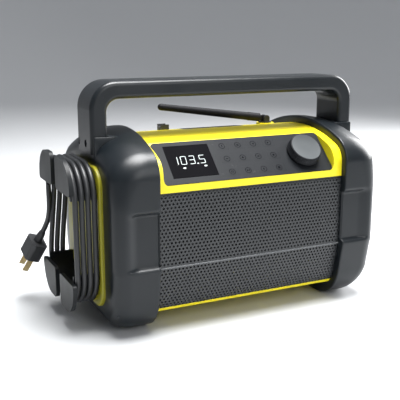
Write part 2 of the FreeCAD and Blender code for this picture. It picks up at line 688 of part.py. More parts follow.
# Carry handle: one moulded arch, screwed into the cap sockets
reach = size("handle_reach")
thick = size("handle_thick")
handle_top = size("handle_top")
leg_end = size("leg_end")
handle_front = size("handle_front")
outer_arch = rounded_face(
    [V(-reach, handle_front, leg_end), V(reach, handle_front, leg_end),
     V(reach, handle_front, handle_top), V(-reach, handle_front, handle_top)],
    [0, 0, size("handle_outer"), size("handle_outer")])
inner_arch = rounded_face(
    [V(thick - reach, handle_front, leg_end - 1), V(reach - thick, handle_front, leg_end - 1),
     V(reach - thick, handle_front, handle_top - thick),
     V(thick - reach, handle_front, handle_top - thick)],
    [0, 0, size("handle_outer") - thick + 3, size("handle_outer") - thick + 3])
arch = outer_arch.cut(inner_arch).extrude(V(0, size("handle_depth"), 0))
long_edges = []
for candidate in arch.Edges:
    ends = [v.Point for v in candidate.Vertexes]
    flat = all(abs(p.y - handle_front) < 1e-6 for p in ends) or all(
        abs(p.y - handle_front - size("handle_depth")) < 1e-6 for p in ends)
    below = all(abs(p.z - leg_end) < 1e-6 for p in ends)
    if flat and not below:
        long_edges.append(candidate)
arch = arch.makeFillet(min(size("handle_round"), thick / 2 - 1), long_edges)
head = size("screw_head") / 2
for side in (-1, 1):
    for y, z in leg_screw_spots():
        near, far = sorted((side * (reach - size("screw_high") - 1), side * (reach + 1)))
        arch = arch.cut(rod_x(head + size("fit_gap"), near, far, y, z))
        near, far = sorted((side * (reach - thick - 1), side * (reach + 1)))
        arch = arch.cut(rod_x(size("screw_width") / 2, near, far, y, z))
solid_node(arch, "carry_handle")

# Handle screws, two through each leg
screws = []
for side in (-1, 1):
    for y, z in leg_screw_spots():
        seat = reach - size("screw_high") - 1
        near, far = sorted((side * seat, side * (seat + size("screw_high"))))
        pan = rod_x(head, near, far, y, z)
        near, far = sorted((side * (seat - size("screw_long") + 4), side * (seat + 0.5)))
        drive = sorted((side * (seat + size("screw_high") - 1), side * (seat + 4)))
        slot = rod_x(1.2, drive[0], drive[1], y, z)
        screws.append(pan.fuse(rod_x(size("screw_width") / 2, near, far, y, z)).cut(slot))
solid_node(Part.makeCompound(screws), "handle_screws")

# Antenna: swivel foot, fold pin and the rubber-covered rod
pin_x, pin_y = boss_x, boss_y
foot_low = seat_top + 0.1
foot_top = foot_low + size("foot_disc")
pin_z = foot_top + size("antenna_clear") + size("eye_radius")
eye = size("eye_thick") / 2
ear = size("ear_thick")
side_gap = 0.2
foot_disc = rod_z(size("knuckle_width") / 2, foot_low, foot_top, pin_x, pin_y)
knuckle = foot_disc.fuse(rod_z(3, seat_top - 9, foot_low + 0.5, pin_x, pin_y))
pin_r = size("pin_width") / 2
ear_half = size("eye_radius") + 0.2
for y0 in (pin_y - eye - side_gap - ear, pin_y + eye + side_gap):
    upright_ear = block(pin_x - ear_half, pin_x + ear_half, y0, y0 + ear, foot_low, pin_z)
    knuckle = knuckle.fuse(upright_ear).fuse(rod_y(ear_half, y0, y0 + ear, pin_x, pin_z))
knuckle = knuckle.cut(rod_y(pin_r, pin_y - 10, pin_y + 10, pin_x, pin_z))
solid_node(knuckle.removeSplitter(), "antenna_knuckle")
solid_node(rod_y(pin_r, pin_y - eye - side_gap - ear, pin_y + eye + side_gap + ear, pin_x, pin_z),
           "antenna_pin")
rod_start = size("rod_start")
long = size("antenna_long")
foot_r, tip_r = size("antenna_foot"), size("antenna_tip")
collar = 15.0
rod = Part.makeCylinder(foot_r, collar, V(rod_start, 0, 0), V(1, 0, 0))
rod = rod.fuse(Part.makeCone(foot_r - 0.2, tip_r, long - rod_start - collar - tip_r,
                             V(rod_start + collar, 0, 0), V(1, 0, 0)))
rod = rod.fuse(Part.makeSphere(tip_r, V(long - tip_r, 0, 0)))
eye_plate = Part.makeCylinder(size("eye_radius"), 2 * eye, V(0, -eye, 0), V(0, 1, 0))
eye_plate = eye_plate.fuse(block(0, rod_start + 1, -eye, eye, -2.8, size("eye_radius")))
rod = rod.fuse(eye_plate)
rod = rod.cut(Part.makeCylinder(pin_r + size("run_gap"), 20, V(0, -10, 0), V(0, 1, 0)))
rod.rotate(V(0, 0, 0), V(0, 1, 0), 180 + size("antenna_rise"))
rod.translate(V(pin_x, pin_y, pin_z))
solid_node(rod, "antenna_rod")

# Antenna clip: an open saddle on the crown that holds the rod when it is stowed
clip_x = size("clip_x")
clip_half = size("clip_long") / 2
saddle = block(clip_x - clip_half, clip_x + clip_half, pin_y - tip_r - 2.2, pin_y + tip_r + 2.2,
               crown_height(size("reveal"), pin_y) - 4, pin_z - 0.5)
saddle = saddle.cut(side_prism(size("reveal"), clip_x - 20, clip_x + 20))
saddle = saddle.cut(rod_x(tip_r + 0.55, clip_x - 20, clip_x + 20, pin_y, pin_z))
solid_node(saddle.removeSplitter(), "antenna_clip")

# Side plate of the cord winder: a yellow rounded plate on the left cap
left_face = -(half_width + size("cap_width"))
plate_out = left_face - size("plate_thick")
plate_front = size("plate_front")
plate_back = depth - plate_front
low, high = size("plate_low"), size("plate_high")


def upright_rectangle(x, front, back, bottom, top, radius):
    """A rounded rectangle across X, as a face."""
    return rounded_face([V(x, front, bottom), V(x, back, bottom), V(x, back, top),
                         V(x, front, top)], [radius] * 4)


corner = size("plate_corner")
plate_shape = upright_rectangle(plate_out, plate_front, plate_back, low, high, corner)
plate_shape = plate_shape.extrude(V(size("plate_thick"), 0, 0))
rim_edges = [e for e in plate_shape.Edges
             if all(abs(v.Point.x - plate_out) < 1e-6 for v in e.Vertexes)]
plate_shape = plate_shape.makeFillet(min(1.5, size("plate_thick") / 2), rim_edges)
solid_node(plate_shape, "winder_side_plate")

# Four cord hooks: a curved post and a paddle each, held by a screw
paddle_in = plate_out - size("hook_span")
paddle_out = paddle_in - size("paddle_thick")
post_front, post_back = size("post_front"), depth - size("post_front")
post_low, post_high = size("post_low"), size("post_high")
post_radius = size("post_corner")
post_wall = size("post_wall")
post_ring = upright_rectangle(paddle_in, post_front, post_back, post_low, post_high, post_radius)
post_ring = post_ring.cut(upright_rectangle(
    paddle_in, post_front + post_wall, post_back - post_wall, post_low + post_wall,
    post_high - post_wall, post_radius - post_wall))
post_tube = post_ring.extrude(V(size("hook_span"), 0, 0))
post_reach = post_radius + size("post_run")
lip = size("paddle_lip")
hook_screw_solids = []
for name, at_back, at_top in (("top_rear", 1, 1), ("top_front", 0, 1),
                              ("bottom_rear", 1, 0), ("bottom_front", 0, 0)):
    y_post = post_back if at_back else post_front
    z_post = post_high if at_top else post_low
    y_dir = -1 if at_back else 1
    z_dir = -1 if at_top else 1
    ys = sorted((y_post, y_post + y_dir * post_reach))
    zs = sorted((z_post, z_post + z_dir * post_radius))
    post = post_tube.common(block(paddle_in, plate_out, ys[0], ys[1], zs[0], zs[1]))
    y_edge, z_edge = y_post - y_dir * lip, z_post - z_dir * lip
    y_far = y_edge + y_dir * size("paddle_width")
    z_far = z_edge + z_dir * size("paddle_height")
    paddle = rounded_face(
        [V(paddle_out, y_edge, z_edge), V(paddle_out, y_far, z_edge),
         V(paddle_out, y_far, z_far), V(paddle_out, y_edge, z_far)],
        [size("paddle_corner"), 7, 4, 4]).extrude(V(size("paddle_thick"), 0, 0))
    middle_turn = post_radius - (post_radius - post_wall / 2) / math.sqrt(2)
    spot_y = y_post + y_dir * middle_turn
    spot_z = z_post + z_dir * middle_turn
    screw = rod_x(1.3, paddle_out + 0.6, paddle_out + 15, spot_y, spot_z)
    hook = post.fuse(paddle).cut(screw).removeSplitter()
    solid_node(hook, f"cord_hook_{name}")
    hook_screw_solids.append(screw)
solid_node(Part.makeCompound(hook_screw_solids), "hook_screws")

# Mains cord: whole turns round the hooks, each stepping out on the rear run
cord_r = size("cord_width") / 2
off_post = size("cord_slack") + cord_r
path_radius = post_radius + off_post
first_x = plate_out - off_post
y_lo, y_hi = post_front - off_post, post_back + off_post
z_lo, z_hi = post_low - off_post, post_high + off_post


def round_corner(point, along, following):
    """A quarter turn of the cord round a hook, and where it ends."""
    end = point + (along + following) * path_radius
    centre = point + following * path_radius
    middle = centre + (along - following) * (path_radius / math.sqrt(2))
    return arc(point, middle, end), end


def step_out(point, run):
    """Down the rear run while moving out by one pitch: two opposite arcs."""
    pitch = size("cord_pitch")
    radius = (run * run + pitch * pitch) / (4 * pitch)
    turn = 2 * math.atan(pitch / run)
    end = point + V(-pitch, 0, -run)
    halfway = (point + end) * 0.5
    first = point + V(-radius * (1 - math.cos(turn / 2)), 0, -radius * math.sin(turn / 2))
    second = end + V(radius * (1 - math.cos(turn / 2)), 0, radius * math.sin(turn / 2))
    return [arc(point, first, halfway), arc(halfway, second, end)], end


def winding_wire():
    """From the gland along the bottom, then whole turns round the four hooks."""
    front_way, back_way = V(0, -1, 0), V(0, 1, 0)
    up_way, down_way = V(0, 0, 1), V(0, 0, -1)
    start = V(first_x, size("gland_back") - size("gland_long"), z_lo)
    edges = []
    point = start
    run = size("climb_run")
    for turn in range(int(size("cord_turns"))):
        end = V(point.x, y_lo + path_radius, z_lo)
        edges.append(line(point, end))
        bend, point = round_corner(end, front_way, up_way)
        edges.append(bend)
        end = V(point.x, point.y, z_hi - path_radius)
        edges.append(line(point, end))
        bend, point = round_corner(end, up_way, back_way)
        edges.append(bend)
        end = V(point.x, y_hi - path_radius, point.z)
        edges.append(line(point, end))
        bend, point = round_corner(end, back_way, down_way)
        edges.append(bend)
        end = V(point.x, point.y, z_lo + path_radius + run)
        edges.append(line(point, end))
        point = end
        if turn + 1 < int(size("cord_turns")):
            bends, point = step_out(point, run)
            edges += bends
            bend, point = round_corner(point, down_way, front_way)
            edges.append(bend)
    return Part.Wire(edges), point, start


def tube(wire, start, direction, radius):
    """A round tube along a wire, square to its first edge."""
    ring = Part.Wire(Part.Circle(start, direction, radius).toShape())
    return wire.makePipeShell([ring], True, False)


winding, tail_start, cord_start = winding_wire()
winding_solid = tube(winding, cord_start, V(0, -1, 0), cord_r)
solid_node(winding_solid, "cord_winding")
print("cord winding: length", round(winding.Length, 1), "volume over section times length",
      round(winding_solid.Volume / (math.pi * cord_r ** 2 * winding.Length), 4))


def least_gap(wire, width, step=3.0):
    """Least clear gap between stretches of a wire more than 60 mm apart along it."""
    count = int(wire.Length / step)
    points = wire.discretize(count)
    least = 1e9
    skip = int(60 / step)
    for i in range(0, count):
        for j in range(i + skip, count):
            least = min(least, (points[i] - points[j]).Length)
    return least - width


print("least gap of the winding to itself", round(least_gap(winding, size("cord_width")), 2))

# Cord gland: a moulded boot that lies on the plate at the start of the bottom run
gland_y0 = size("gland_back") - size("gland_long")
gland_top = post_low - 0.25
gland = block(first_x - cord_r - 0.1, plate_out, gland_y0, size("gland_back"),
              gland_top - size("gland_high"), gland_top)
rear_edges = [e for e in gland.Edges
              if all(abs(v.Point.y - size("gland_back")) < 1e-6 for v in e.Vertexes)
              and not all(abs(v.Point.x - plate_out) < 1e-6 for v in e.Vertexes)]
solid_node(gland.makeFillet(2.0, rear_edges), "cord_gland")

# Free tail: straight runs joined by tangent arcs, from the winding to the plug
TAIL = [V(-175.2, 148.5, 88.0), V(-180.3, 152.9, 76.9)]
run_down = tail_start + V(0, 0, -15)
tail_points = [tail_start, run_down] + TAIL


def run_and_arc_wire(points):
    """Straight runs joined by arcs of 0.45 of the shorter run over tan(half turn)."""
    edges = []
    radii = []
    current = points[0]
    for before, here, after in zip(points, points[1:], points[2:]):
        incoming = here - before
        outgoing = after - here
        shorter = min(incoming.Length, outgoing.Length)
        turn = incoming.getAngle(outgoing)
        radius = 0.45 * shorter / math.tan(turn / 2)
        cut = 0.45 * shorter
        into, out = incoming.normalize(), outgoing.normalize()
        start, end = here - into * cut, here + out * cut
        bisector = (out - into).normalize()
        centre = here + bisector * (radius / math.cos(turn / 2))
        middle = centre + (here - centre).normalize() * radius
        edges.append(line(current, start))
        edges.append(arc(start, middle, end))
        radii.append(round(radius, 1))
        current = end
    edges.append(line(current, points[-1]))
    return Part.Wire(edges), radii


tail_wire, tail_radii = run_and_arc_wire(tail_points)
tail_solid = tube(tail_wire, tail_points[0], tail_points[1] - tail_points[0], cord_r)
solid_node(tail_solid, "cord_tail")
print("cord tail: radii", tail_radii, "length", round(tail_wire.Length, 1),
      "volume ratio", round(tail_solid.Volume / (math.pi * cord_r ** 2 * tail_wire.Length), 4))

# Mains plug: moulded body square to the end of the tail, and two flat blades
plug_mouth = tail_points[-1]
plug_axis = (tail_points[-1] - tail_points[-2]).normalize()


def along_plug(shape):
    """Turn a shape built along +Z so that it follows the plug's axis."""
    moved = shape.copy()
    moved.Placement = FreeCAD.Placement(plug_mouth, FreeCAD.Rotation(V(0, 0, 1), plug_axis))
    return moved


relief = Part.makeCone(cord_r + 0.8, cord_r + 2.2, 12)
plug_body = rounded_face([V(-12, -9, 12), V(12, -9, 12), V(12, 9, 12), V(-12, 9, 12)],
                         [5] * 4).extrude(V(0, 0, 20))
solid_node(along_plug(relief.fuse(plug_body)), "mains_plug")
blades = [along_plug(block(x - 0.75, x + 0.75, -3.2, 3.2, 32, 49)) for x in (-6.35, 6.35)]
solid_node(Part.makeCompound(blades), "plug_blades")

# Main board on the tray's posts, and the mains transformer beside it
main_z = size("underside") + 12
board_y = depth - 108
main_board = block(10, 100, board_y, board_y + 80, main_z, main_z + size("board_thick"))
for x, y, w, d, h in ((30, board_y + 25, 20, 20, 5), (60, board_y + 20, 14, 14, 3),
                      (75, board_y + 50, 12, 25, 14), (30, board_y + 58, 10, 10, 16)):
    main_board = main_board.fuse(block(x, x + w, y, y + d, main_z + size("board_thick"),
                                       main_z + size("board_thick") + h))
solid_node(main_board.removeSplitter(), "main_board")
floor = size("underside") + wall
iron_y = depth * 0.6
core = block(-80, -24, iron_y - 11, iron_y + 11, floor, floor + 48)
coil = block(-66, -38, iron_y - 25, iron_y + 25, floor + 8, floor + 40)
lugs = block(-86, -18, iron_y - 9, iron_y + 9, floor, floor + 2)
solid_node(core.fuse(coil).fuse(lugs).removeSplitter(), "mains_transformer")

# Battery tray behind the rear door, two backup cells and the hinged door
tray_deep = 20.0
box_out = block(door["x0"] - 2, door["x1"] + 2, back_in - tray_deep - 2, back_in,
                door["z0"] - 2, door["z1"] + 2)
box_in = block(door["x0"], door["x1"], back_in - tray_deep, back_in + 1, door["z0"], door["z1"])
solid_node(box_out.cut(box_in), "battery_tray")
cell_r = 7.2
cells = []
for z in (door["z0"] + 9.5, door["z1"] - 9.5):
    y = back_in - tray_deep + cell_r + 0.3
    cell = rod_x(cell_r, -25, 24, y, z).fuse(rod_x(2.7, 24, 25.3, y, z))
    cells.append(cell)
solid_node(Part.makeCompound(cells), "backup_cells")
play = 0.3
door_thick = wall
leaf = block(door["x0"] + play, door["x1"] - play, back_out - door_thick, back_out,
             door["z0"] + 3, door["z1"] - play)
hinge_z = door["z0"] + 2.2
hinge_y = back_out - 1.6
leaf = leaf.fuse(rod_x(1.6, door["x0"] + play, door["x1"] - play, hinge_y, hinge_z))
leaf = leaf.fuse(block(-8, 8, back_out, back_out + 1.2, door["z1"] - 8, door["z1"] - 5))
solid_node(leaf.removeSplitter(), "battery_door")

# Sockets on the back and the hinged rubber flap that covers them
socket_block = block(flap["x0"] + 4, flap["x1"] - 4, back_in - 12, back_in,
                     flap["z0"] - 1, flap["z1"] + 1)
for x in (flap["x0"] + 10.5, flap["x1"] - 10.5):
    z = (flap["z0"] + flap["z1"]) / 2
    socket_block = socket_block.fuse(rod_y(4, back_in - 1, back_out - 1.6, x, z))
    socket_block = socket_block.cut(rod_y(1.8, back_in - 10, back_out, x, z))
solid_node(socket_block.removeSplitter(), "rear_sockets")
flap_pin = 1.0
flap_z = flap["z0"] + play + flap_pin
flap_y = back_out - 1.2 + 0.1 + flap_pin
cover = rod_x(flap_pin, flap["x0"] + play, flap["x1"] - play, flap_y, flap_z)
cover = cover.fuse(block(flap["x0"] + play, flap["x1"] - play, flap_y - flap_pin,
                         back_out + 0.8, flap_z, flap["z1"] - play))
cover = cover.fuse(block((flap["x0"] + flap["x1"]) / 2 - 4, (flap["x0"] + flap["x1"]) / 2 + 4,
                         back_out, back_out + 2, flap["z1"] - 3, flap["z1"] - play))
solid_node(cover.removeSplitter(), "socket_flap")

doc.recompute()

# Every object has to be sound before anything is written
problems = []
for obj in doc.Objects:
    if any(word in str(obj.State) for word in ("Invalid", "Error")):
        problems.append(f"{obj.Name}: {obj.State}")
for obj in NODES:
    if obj.Shape.isNull() or not obj.Shape.isValid() or not obj.Shape.Solids:
        problems.append(f"{obj.Label}: bad shape")
if problems:
    raise RuntimeError("; ".join(problems))

os.makedirs("parts", exist_ok=True)
for obj in NODES:
    obj.Shape.exportStep(os.path.join("parts", f"{obj.Label}.step"))
print(len(NODES), "nodes written")
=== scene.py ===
import math

import bpy
import numpy as np
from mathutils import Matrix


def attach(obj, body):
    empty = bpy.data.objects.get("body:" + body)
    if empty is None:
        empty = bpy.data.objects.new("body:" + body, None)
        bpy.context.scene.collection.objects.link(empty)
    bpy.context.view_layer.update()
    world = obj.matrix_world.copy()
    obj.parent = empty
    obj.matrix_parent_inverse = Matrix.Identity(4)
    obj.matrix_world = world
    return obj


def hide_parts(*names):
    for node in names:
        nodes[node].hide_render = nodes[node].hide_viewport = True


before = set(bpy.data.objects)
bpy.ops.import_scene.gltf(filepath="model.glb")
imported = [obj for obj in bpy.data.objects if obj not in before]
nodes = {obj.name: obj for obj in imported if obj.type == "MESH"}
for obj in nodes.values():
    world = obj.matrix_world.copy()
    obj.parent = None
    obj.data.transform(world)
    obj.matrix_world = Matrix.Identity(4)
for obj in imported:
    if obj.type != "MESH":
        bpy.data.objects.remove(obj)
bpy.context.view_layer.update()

# The shells: an upper and a lower one in signal yellow and a dark rear one, all
# moulded with a satin skin. They close round the loudspeaker baffle.


def new_group(name, inputs, outputs):
    """An empty shader node group with named sockets, and its two end nodes."""
    group = bpy.data.node_groups.new(name, "ShaderNodeTree")
    for label, kind, value in inputs:
        socket = group.interface.new_socket(label, in_out="INPUT", socket_type=kind)
        socket.default_value = value
    for label, kind in outputs:
        group.interface.new_socket(label, in_out="OUTPUT", socket_type=kind)
    return group, group.nodes.new("NodeGroupInput"), group.nodes.new("NodeGroupOutput")


def build_moulded_grain():
    """Skin of moulded plastic or rubber. Colour: the given one times 1 plus a soft cloud, mixed
    with pale grey where a fine noise is high. Height: fine pits. Roughness: the given one plus a
    quarter of the cloud."""
    group, start, end = new_group(
        "moulded_grain",
        [("Colour", "NodeSocketColor", (0.1, 0.1, 0.1, 1)), ("Grain", "NodeSocketFloat", 900.0),
         ("Blotch", "NodeSocketFloat", 0.12), ("Scuff", "NodeSocketFloat", 0.1),
         ("Roughness", "NodeSocketFloat", 0.5)],
        [("Colour", "NodeSocketColor"), ("Height", "NodeSocketFloat"),
         ("Roughness", "NodeSocketFloat")])
    links = group.links
    where = group.nodes.new("ShaderNodeTexCoord")

    pits = group.nodes.new("ShaderNodeTexNoise")
    pits.inputs["Detail"].default_value = 3.0
    links.new(where.outputs["Object"], pits.inputs["Vector"])
    links.new(start.outputs["Grain"], pits.inputs["Scale"])
    links.new(pits.outputs["Fac"], end.inputs["Height"])

    cloud = group.nodes.new("ShaderNodeTexNoise")
    cloud.inputs["Scale"].default_value = 22.0
    cloud.inputs["Detail"].default_value = 5.0
    links.new(where.outputs["Object"], cloud.inputs["Vector"])
    centred = group.nodes.new("ShaderNodeMath")
    centred.operation = "SUBTRACT"
    centred.inputs[1].default_value = 0.5
    links.new(cloud.outputs["Fac"], centred.inputs[0])
    blotch = group.nodes.new("ShaderNodeMath")
    blotch.operation = "MULTIPLY_ADD"
    blotch.inputs[2].default_value = 1.0
    links.new(centred.outputs[0], blotch.inputs[0])
    links.new(start.outputs["Blotch"], blotch.inputs[1])
    shaded = group.nodes.new("ShaderNodeVectorMath")
    shaded.operation = "SCALE"
    links.new(start.outputs["Colour"], shaded.inputs[0])
    links.new(blotch.outputs[0], shaded.inputs["Scale"])

    scratches = group.nodes.new("ShaderNodeTexNoise")
    scratches.inputs["Scale"].default_value = 140.0
    scratches.inputs["Detail"].default_value = 8.0
    scratches.inputs["Roughness"].default_value = 0.7
    links.new(where.outputs["Object"], scratches.inputs["Vector"])
    rare = group.nodes.new("ShaderNodeMapRange")
    rare.inputs["From Min"].default_value = 0.62
    rare.inputs["From Max"].default_value = 0.78
    links.new(scratches.outputs["Fac"], rare.inputs["Value"])
    amount = group.nodes.new("ShaderNodeMath")
    amount.operation = "MULTIPLY"
    links.new(rare.outputs["Result"], amount.inputs[0])
    links.new(start.outputs["Scuff"], amount.inputs[1])
    scuffed = group.nodes.new("ShaderNodeMix")
    scuffed.data_type = "RGBA"
    scuffed.inputs["B"].default_value = (0.5, 0.5, 0.48, 1)
    links.new(amount.outputs[0], scuffed.inputs["Factor"])
    links.new(shaded.outputs[0], scuffed.inputs["A"])
    links.new(scuffed.outputs["Result"], end.inputs["Colour"])

    rough = group.nodes.new("ShaderNodeMath")
    rough.operation = "MULTIPLY_ADD"
    rough.inputs[1].default_value = 0.25
    links.new(centred.outputs[0], rough.inputs[0])
    links.new(start.outputs["Roughness"], rough.inputs[2])
    links.new(rough.outputs[0], end.inputs["Roughness"])
    return group


moulded_grain = build_moulded_grain()


def moulded(name, colour, roughness=0.5, grain=900.0, pit=0.03, blotch=0.12, scuff=0.06,
            specular=0.5):
    """A moulded plastic or rubber finish: the grain group drives colour, roughness and a bump
    whose pits are so many millimetres deep."""
    material = bpy.data.materials.new(name)
    material.use_nodes = True
    tree = material.node_tree
    shader = tree.nodes["Principled BSDF"]
    shader.inputs["Specular IOR Level"].default_value = specular
    skin = tree.nodes.new("ShaderNodeGroup")
    skin.node_tree = moulded_grain
    skin.inputs["Colour"].default_value = (*colour, 1)
    skin.inputs["Grain"].default_value = grain
    skin.inputs["Blotch"].default_value = blotch
    skin.inputs["Scuff"].default_value = scuff
    skin.inputs["Roughness"].default_value = roughness
    bump = tree.nodes.new("ShaderNodeBump")
    bump.inputs["Strength"].default_value = 0.6
    bump.inputs["Distance"].default_value = pit / 1000
    tree.links.new(skin.outputs["Colour"], shader.inputs["Base Color"])
    tree.links.new(skin.outputs["Roughness"], shader.inputs["Roughness"])
    tree.links.new(skin.outputs["Height"], bump.inputs["Height"])
    tree.links.new(bump.outputs["Normal"], shader.inputs["Normal"])
    return material


def finish_nodes(material, *names):
    """Give solids that are shown as they are one finish."""
    for name in names:
        for entry in nodes[name].material_slots:
            entry.material = material


signal_yellow = moulded("signal_yellow", (0.82, 0.69, 0.012), roughness=0.36, grain=800, pit=0.015,
                        blotch=0.05, scuff=0.0)
dark_moulding = moulded("dark_moulding", (0.018, 0.020, 0.022), roughness=0.48, grain=1000,
                        pit=0.015)
finish_nodes(signal_yellow, "top_shell", "bottom_shell")
finish_nodes(dark_moulding, "rear_shell")

# The rear wall holds a dark tray for the backup cells with its hinged door, and
# a row of sockets under a soft flap, whose rubber also makes the four feet.
flap_rubber = moulded("flap_rubber", (0.035, 0.035, 0.037), roughness=0.6, grain=1200)
cell_wrap = moulded("cell_wrap", (0.06, 0.07, 0.10), roughness=0.25, grain=500)
finish_nodes(dark_moulding, "battery_tray", "battery_door", "rear_sockets")
finish_nodes(cell_wrap, "backup_cells")
finish_nodes(flap_rubber, "socket_flap", "rubber_feet")

# Inside stand the main board, green with solder mask, and the mains transformer,
# a block of stacked iron sheets. Both stand on the floor of the lower shell.
solder_mask = moulded("solder_mask", (0.01, 0.08, 0.03), roughness=0.35, grain=400)
laminated_iron = moulded("laminated_iron", (0.06, 0.055, 0.05), roughness=0.5, grain=300)
finish_nodes(solder_mask, "main_board")
finish_nodes(laminated_iron, "mains_transformer")

# The two loudspeakers have blackened steel frames, black paper cones and
# ferrite magnets. They are screwed to the dark baffle behind the grille.


def metal(name, colour, roughness):
    """A plain metal. Roughness: the given one plus a share of a noise that is stretched along
    the radio's length into brush lines."""
    brushed = 0.15
    material = bpy.data.materials.new(name)
    material.use_nodes = True
    tree = material.node_tree
    shader = tree.nodes["Principled BSDF"]
    shader.inputs["Base Color"].default_value = (*colour, 1)
    shader.inputs["Metallic"].default_value = 1.0
    where = tree.nodes.new("ShaderNodeTexCoord")
    stretch = tree.nodes.new("ShaderNodeMapping")
    stretch.inputs["Scale"].default_value = (60, 900, 900)
    lines = tree.nodes.new("ShaderNodeTexNoise")
    lines.inputs["Scale"].default_value = 1.0
    spread = tree.nodes.new("ShaderNodeMapRange")
    spread.inputs["To Min"].default_value = roughness
    spread.inputs["To Max"].default_value = roughness + brushed
    tree.links.new(where.outputs["Object"], stretch.inputs["Vector"])
    tree.links.new(stretch.outputs["Vector"], lines.inputs["Vector"])
    tree.links.new(lines.outputs["Fac"], spread.inputs["Value"])
    tree.links.new(spread.outputs["Result"], shader.inputs["Roughness"])
    return material


blackened_steel = metal("blackened_steel", (0.06, 0.06, 0.065), roughness=0.4)
cone_paper = moulded("cone_paper", (0.02, 0.02, 0.02), roughness=0.8, grain=700, pit=0.06)
ferrite = moulded("ferrite", (0.05, 0.05, 0.055), roughness=0.6, grain=500)
finish_nodes(dark_moulding, "speaker_baffle")
finish_nodes(blackened_steel, "left_speaker_frame", "right_speaker_frame")
finish_nodes(cone_paper, "left_speaker_cone", "right_speaker_cone")
finish_nodes(ferrite, "left_speaker_magnet", "right_speaker_magnet")

# The grille is one steel sheet, punched with staggered round holes, painted
# black and bent over the baffle's rim.


def place(x, y, z):
    """Millimetres from the bumpers' middle, front and underside, as metres in the part's own
    frame: each is shifted and divided by 1000."""
    shift_x, shift_y, shift_z = 15.15, -89.0, 0.6
    return np.stack(np.broadcast_arrays((np.asarray(x, float) + shift_x) / 1000,
                                        (np.asarray(y, float) + shift_y) / 1000,
                                        (np.asarray(z, float) + shift_z) / 1000), axis=-1)


def mesh_piece(name, points, faces, material, body="case", smooth=True):
    """Put worked-out points and faces into a mesh object that rides on a body."""
    mesh = bpy.data.meshes.new(name)
    mesh.from_pydata(points.reshape(-1, 3), [], faces)
    mesh.materials.append(material)
    mesh.polygons.foreach_set("use_smooth", np.full(len(mesh.polygons), smooth))
    mesh.update()
    piece = bpy.data.objects.new(name, mesh)
    bpy.context.collection.objects.link(piece)
    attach(piece, body)
    return piece


half_depth = 89.0
top_height = 195.0
shoulder_radius = 28.0
shoulder_turn = math.radians(66)
crown_radius = shoulder_radius + (half_depth - shoulder_radius) / math.cos(shoulder_turn)
lean_back, lean_low, lean_high = 6.0, 34.0, 66.0


def side_outline(count):
    """The box's outline seen from the side, evenly spaced, with its outward direction: an
    upright front, a tight shoulder arc, a broad crown arc, a lean back below and a rounded toe,
    each arc touching its neighbours; the rear half is the front half mirrored."""
    crown_z = top_height - crown_radius
    bend_z = crown_z + (crown_radius - shoulder_radius) * math.sin(shoulder_turn)
    lean = math.atan2(lean_back, lean_high - lean_low)
    toe = lean_low / (1 - math.sin(lean))
    toe_y = lean_back + toe * math.cos(lean)
    a = np.linspace(math.pi / 2, lean, 200)
    toe_arc = np.stack([toe_y - toe * np.cos(a), toe - toe * np.sin(a)], 1)
    a = np.linspace(0, shoulder_turn, 200)
    shoulder_arc = np.stack([shoulder_radius - shoulder_radius * np.cos(a),
                             bend_z + shoulder_radius * np.sin(a)], 1)
    a = np.linspace(shoulder_turn, math.pi / 2, 300)
    crown_arc = np.stack([half_depth - crown_radius * np.cos(a),
                          crown_z + crown_radius * np.sin(a)], 1)
    front = np.vstack([toe_arc, [[0.0, lean_high]], shoulder_arc, crown_arc])
    rear = front[::-1] * [-1, 1] + [2 * half_depth, 0]
    loop = np.vstack([front, rear[1:], front[:1]])
    step = np.r_[0, np.cumsum(np.hypot(*np.diff(loop, axis=0).T))]
    at = np.linspace(0, step[-1], count, endpoint=False)
    y, z = np.interp(at, step, loop[:, 0]), np.interp(at, step, loop[:, 1])
    dy, dz = np.roll(y, -2) - np.roll(y, 2), np.roll(z, -2) - np.roll(z, 2)
    long = np.hypot(dy, dz)
    return y, z, -dz / long, dy / long


grille_width = 209.6
grille_inset = 8.0
grille_low, grille_high = 22.0, 139.6
sheet_thickness = 1.2
hole_pitch, hole_diameter = 4.0, 2.3


def grille_line():
    """The sheet's face seen from the side: the front of the outline moved inwards by the inset,
    with the length up along it and its outward direction."""
    front_only = 60
    y, z, ny, nz = side_outline(4000)
    y, z = y - ny * grille_inset, z - nz * grille_inset
    chosen = (y < front_only) & (z > grille_low) & (z < grille_high)
    y, z, ny, nz = (part[chosen] for part in (y, z, ny, nz))
    order = np.argsort(z)
    y, z, ny, nz = (part[order] for part in (y, z, ny, nz))
    return np.r_[0, np.cumsum(np.hypot(np.diff(y), np.diff(z)))], (y, z, ny, nz)


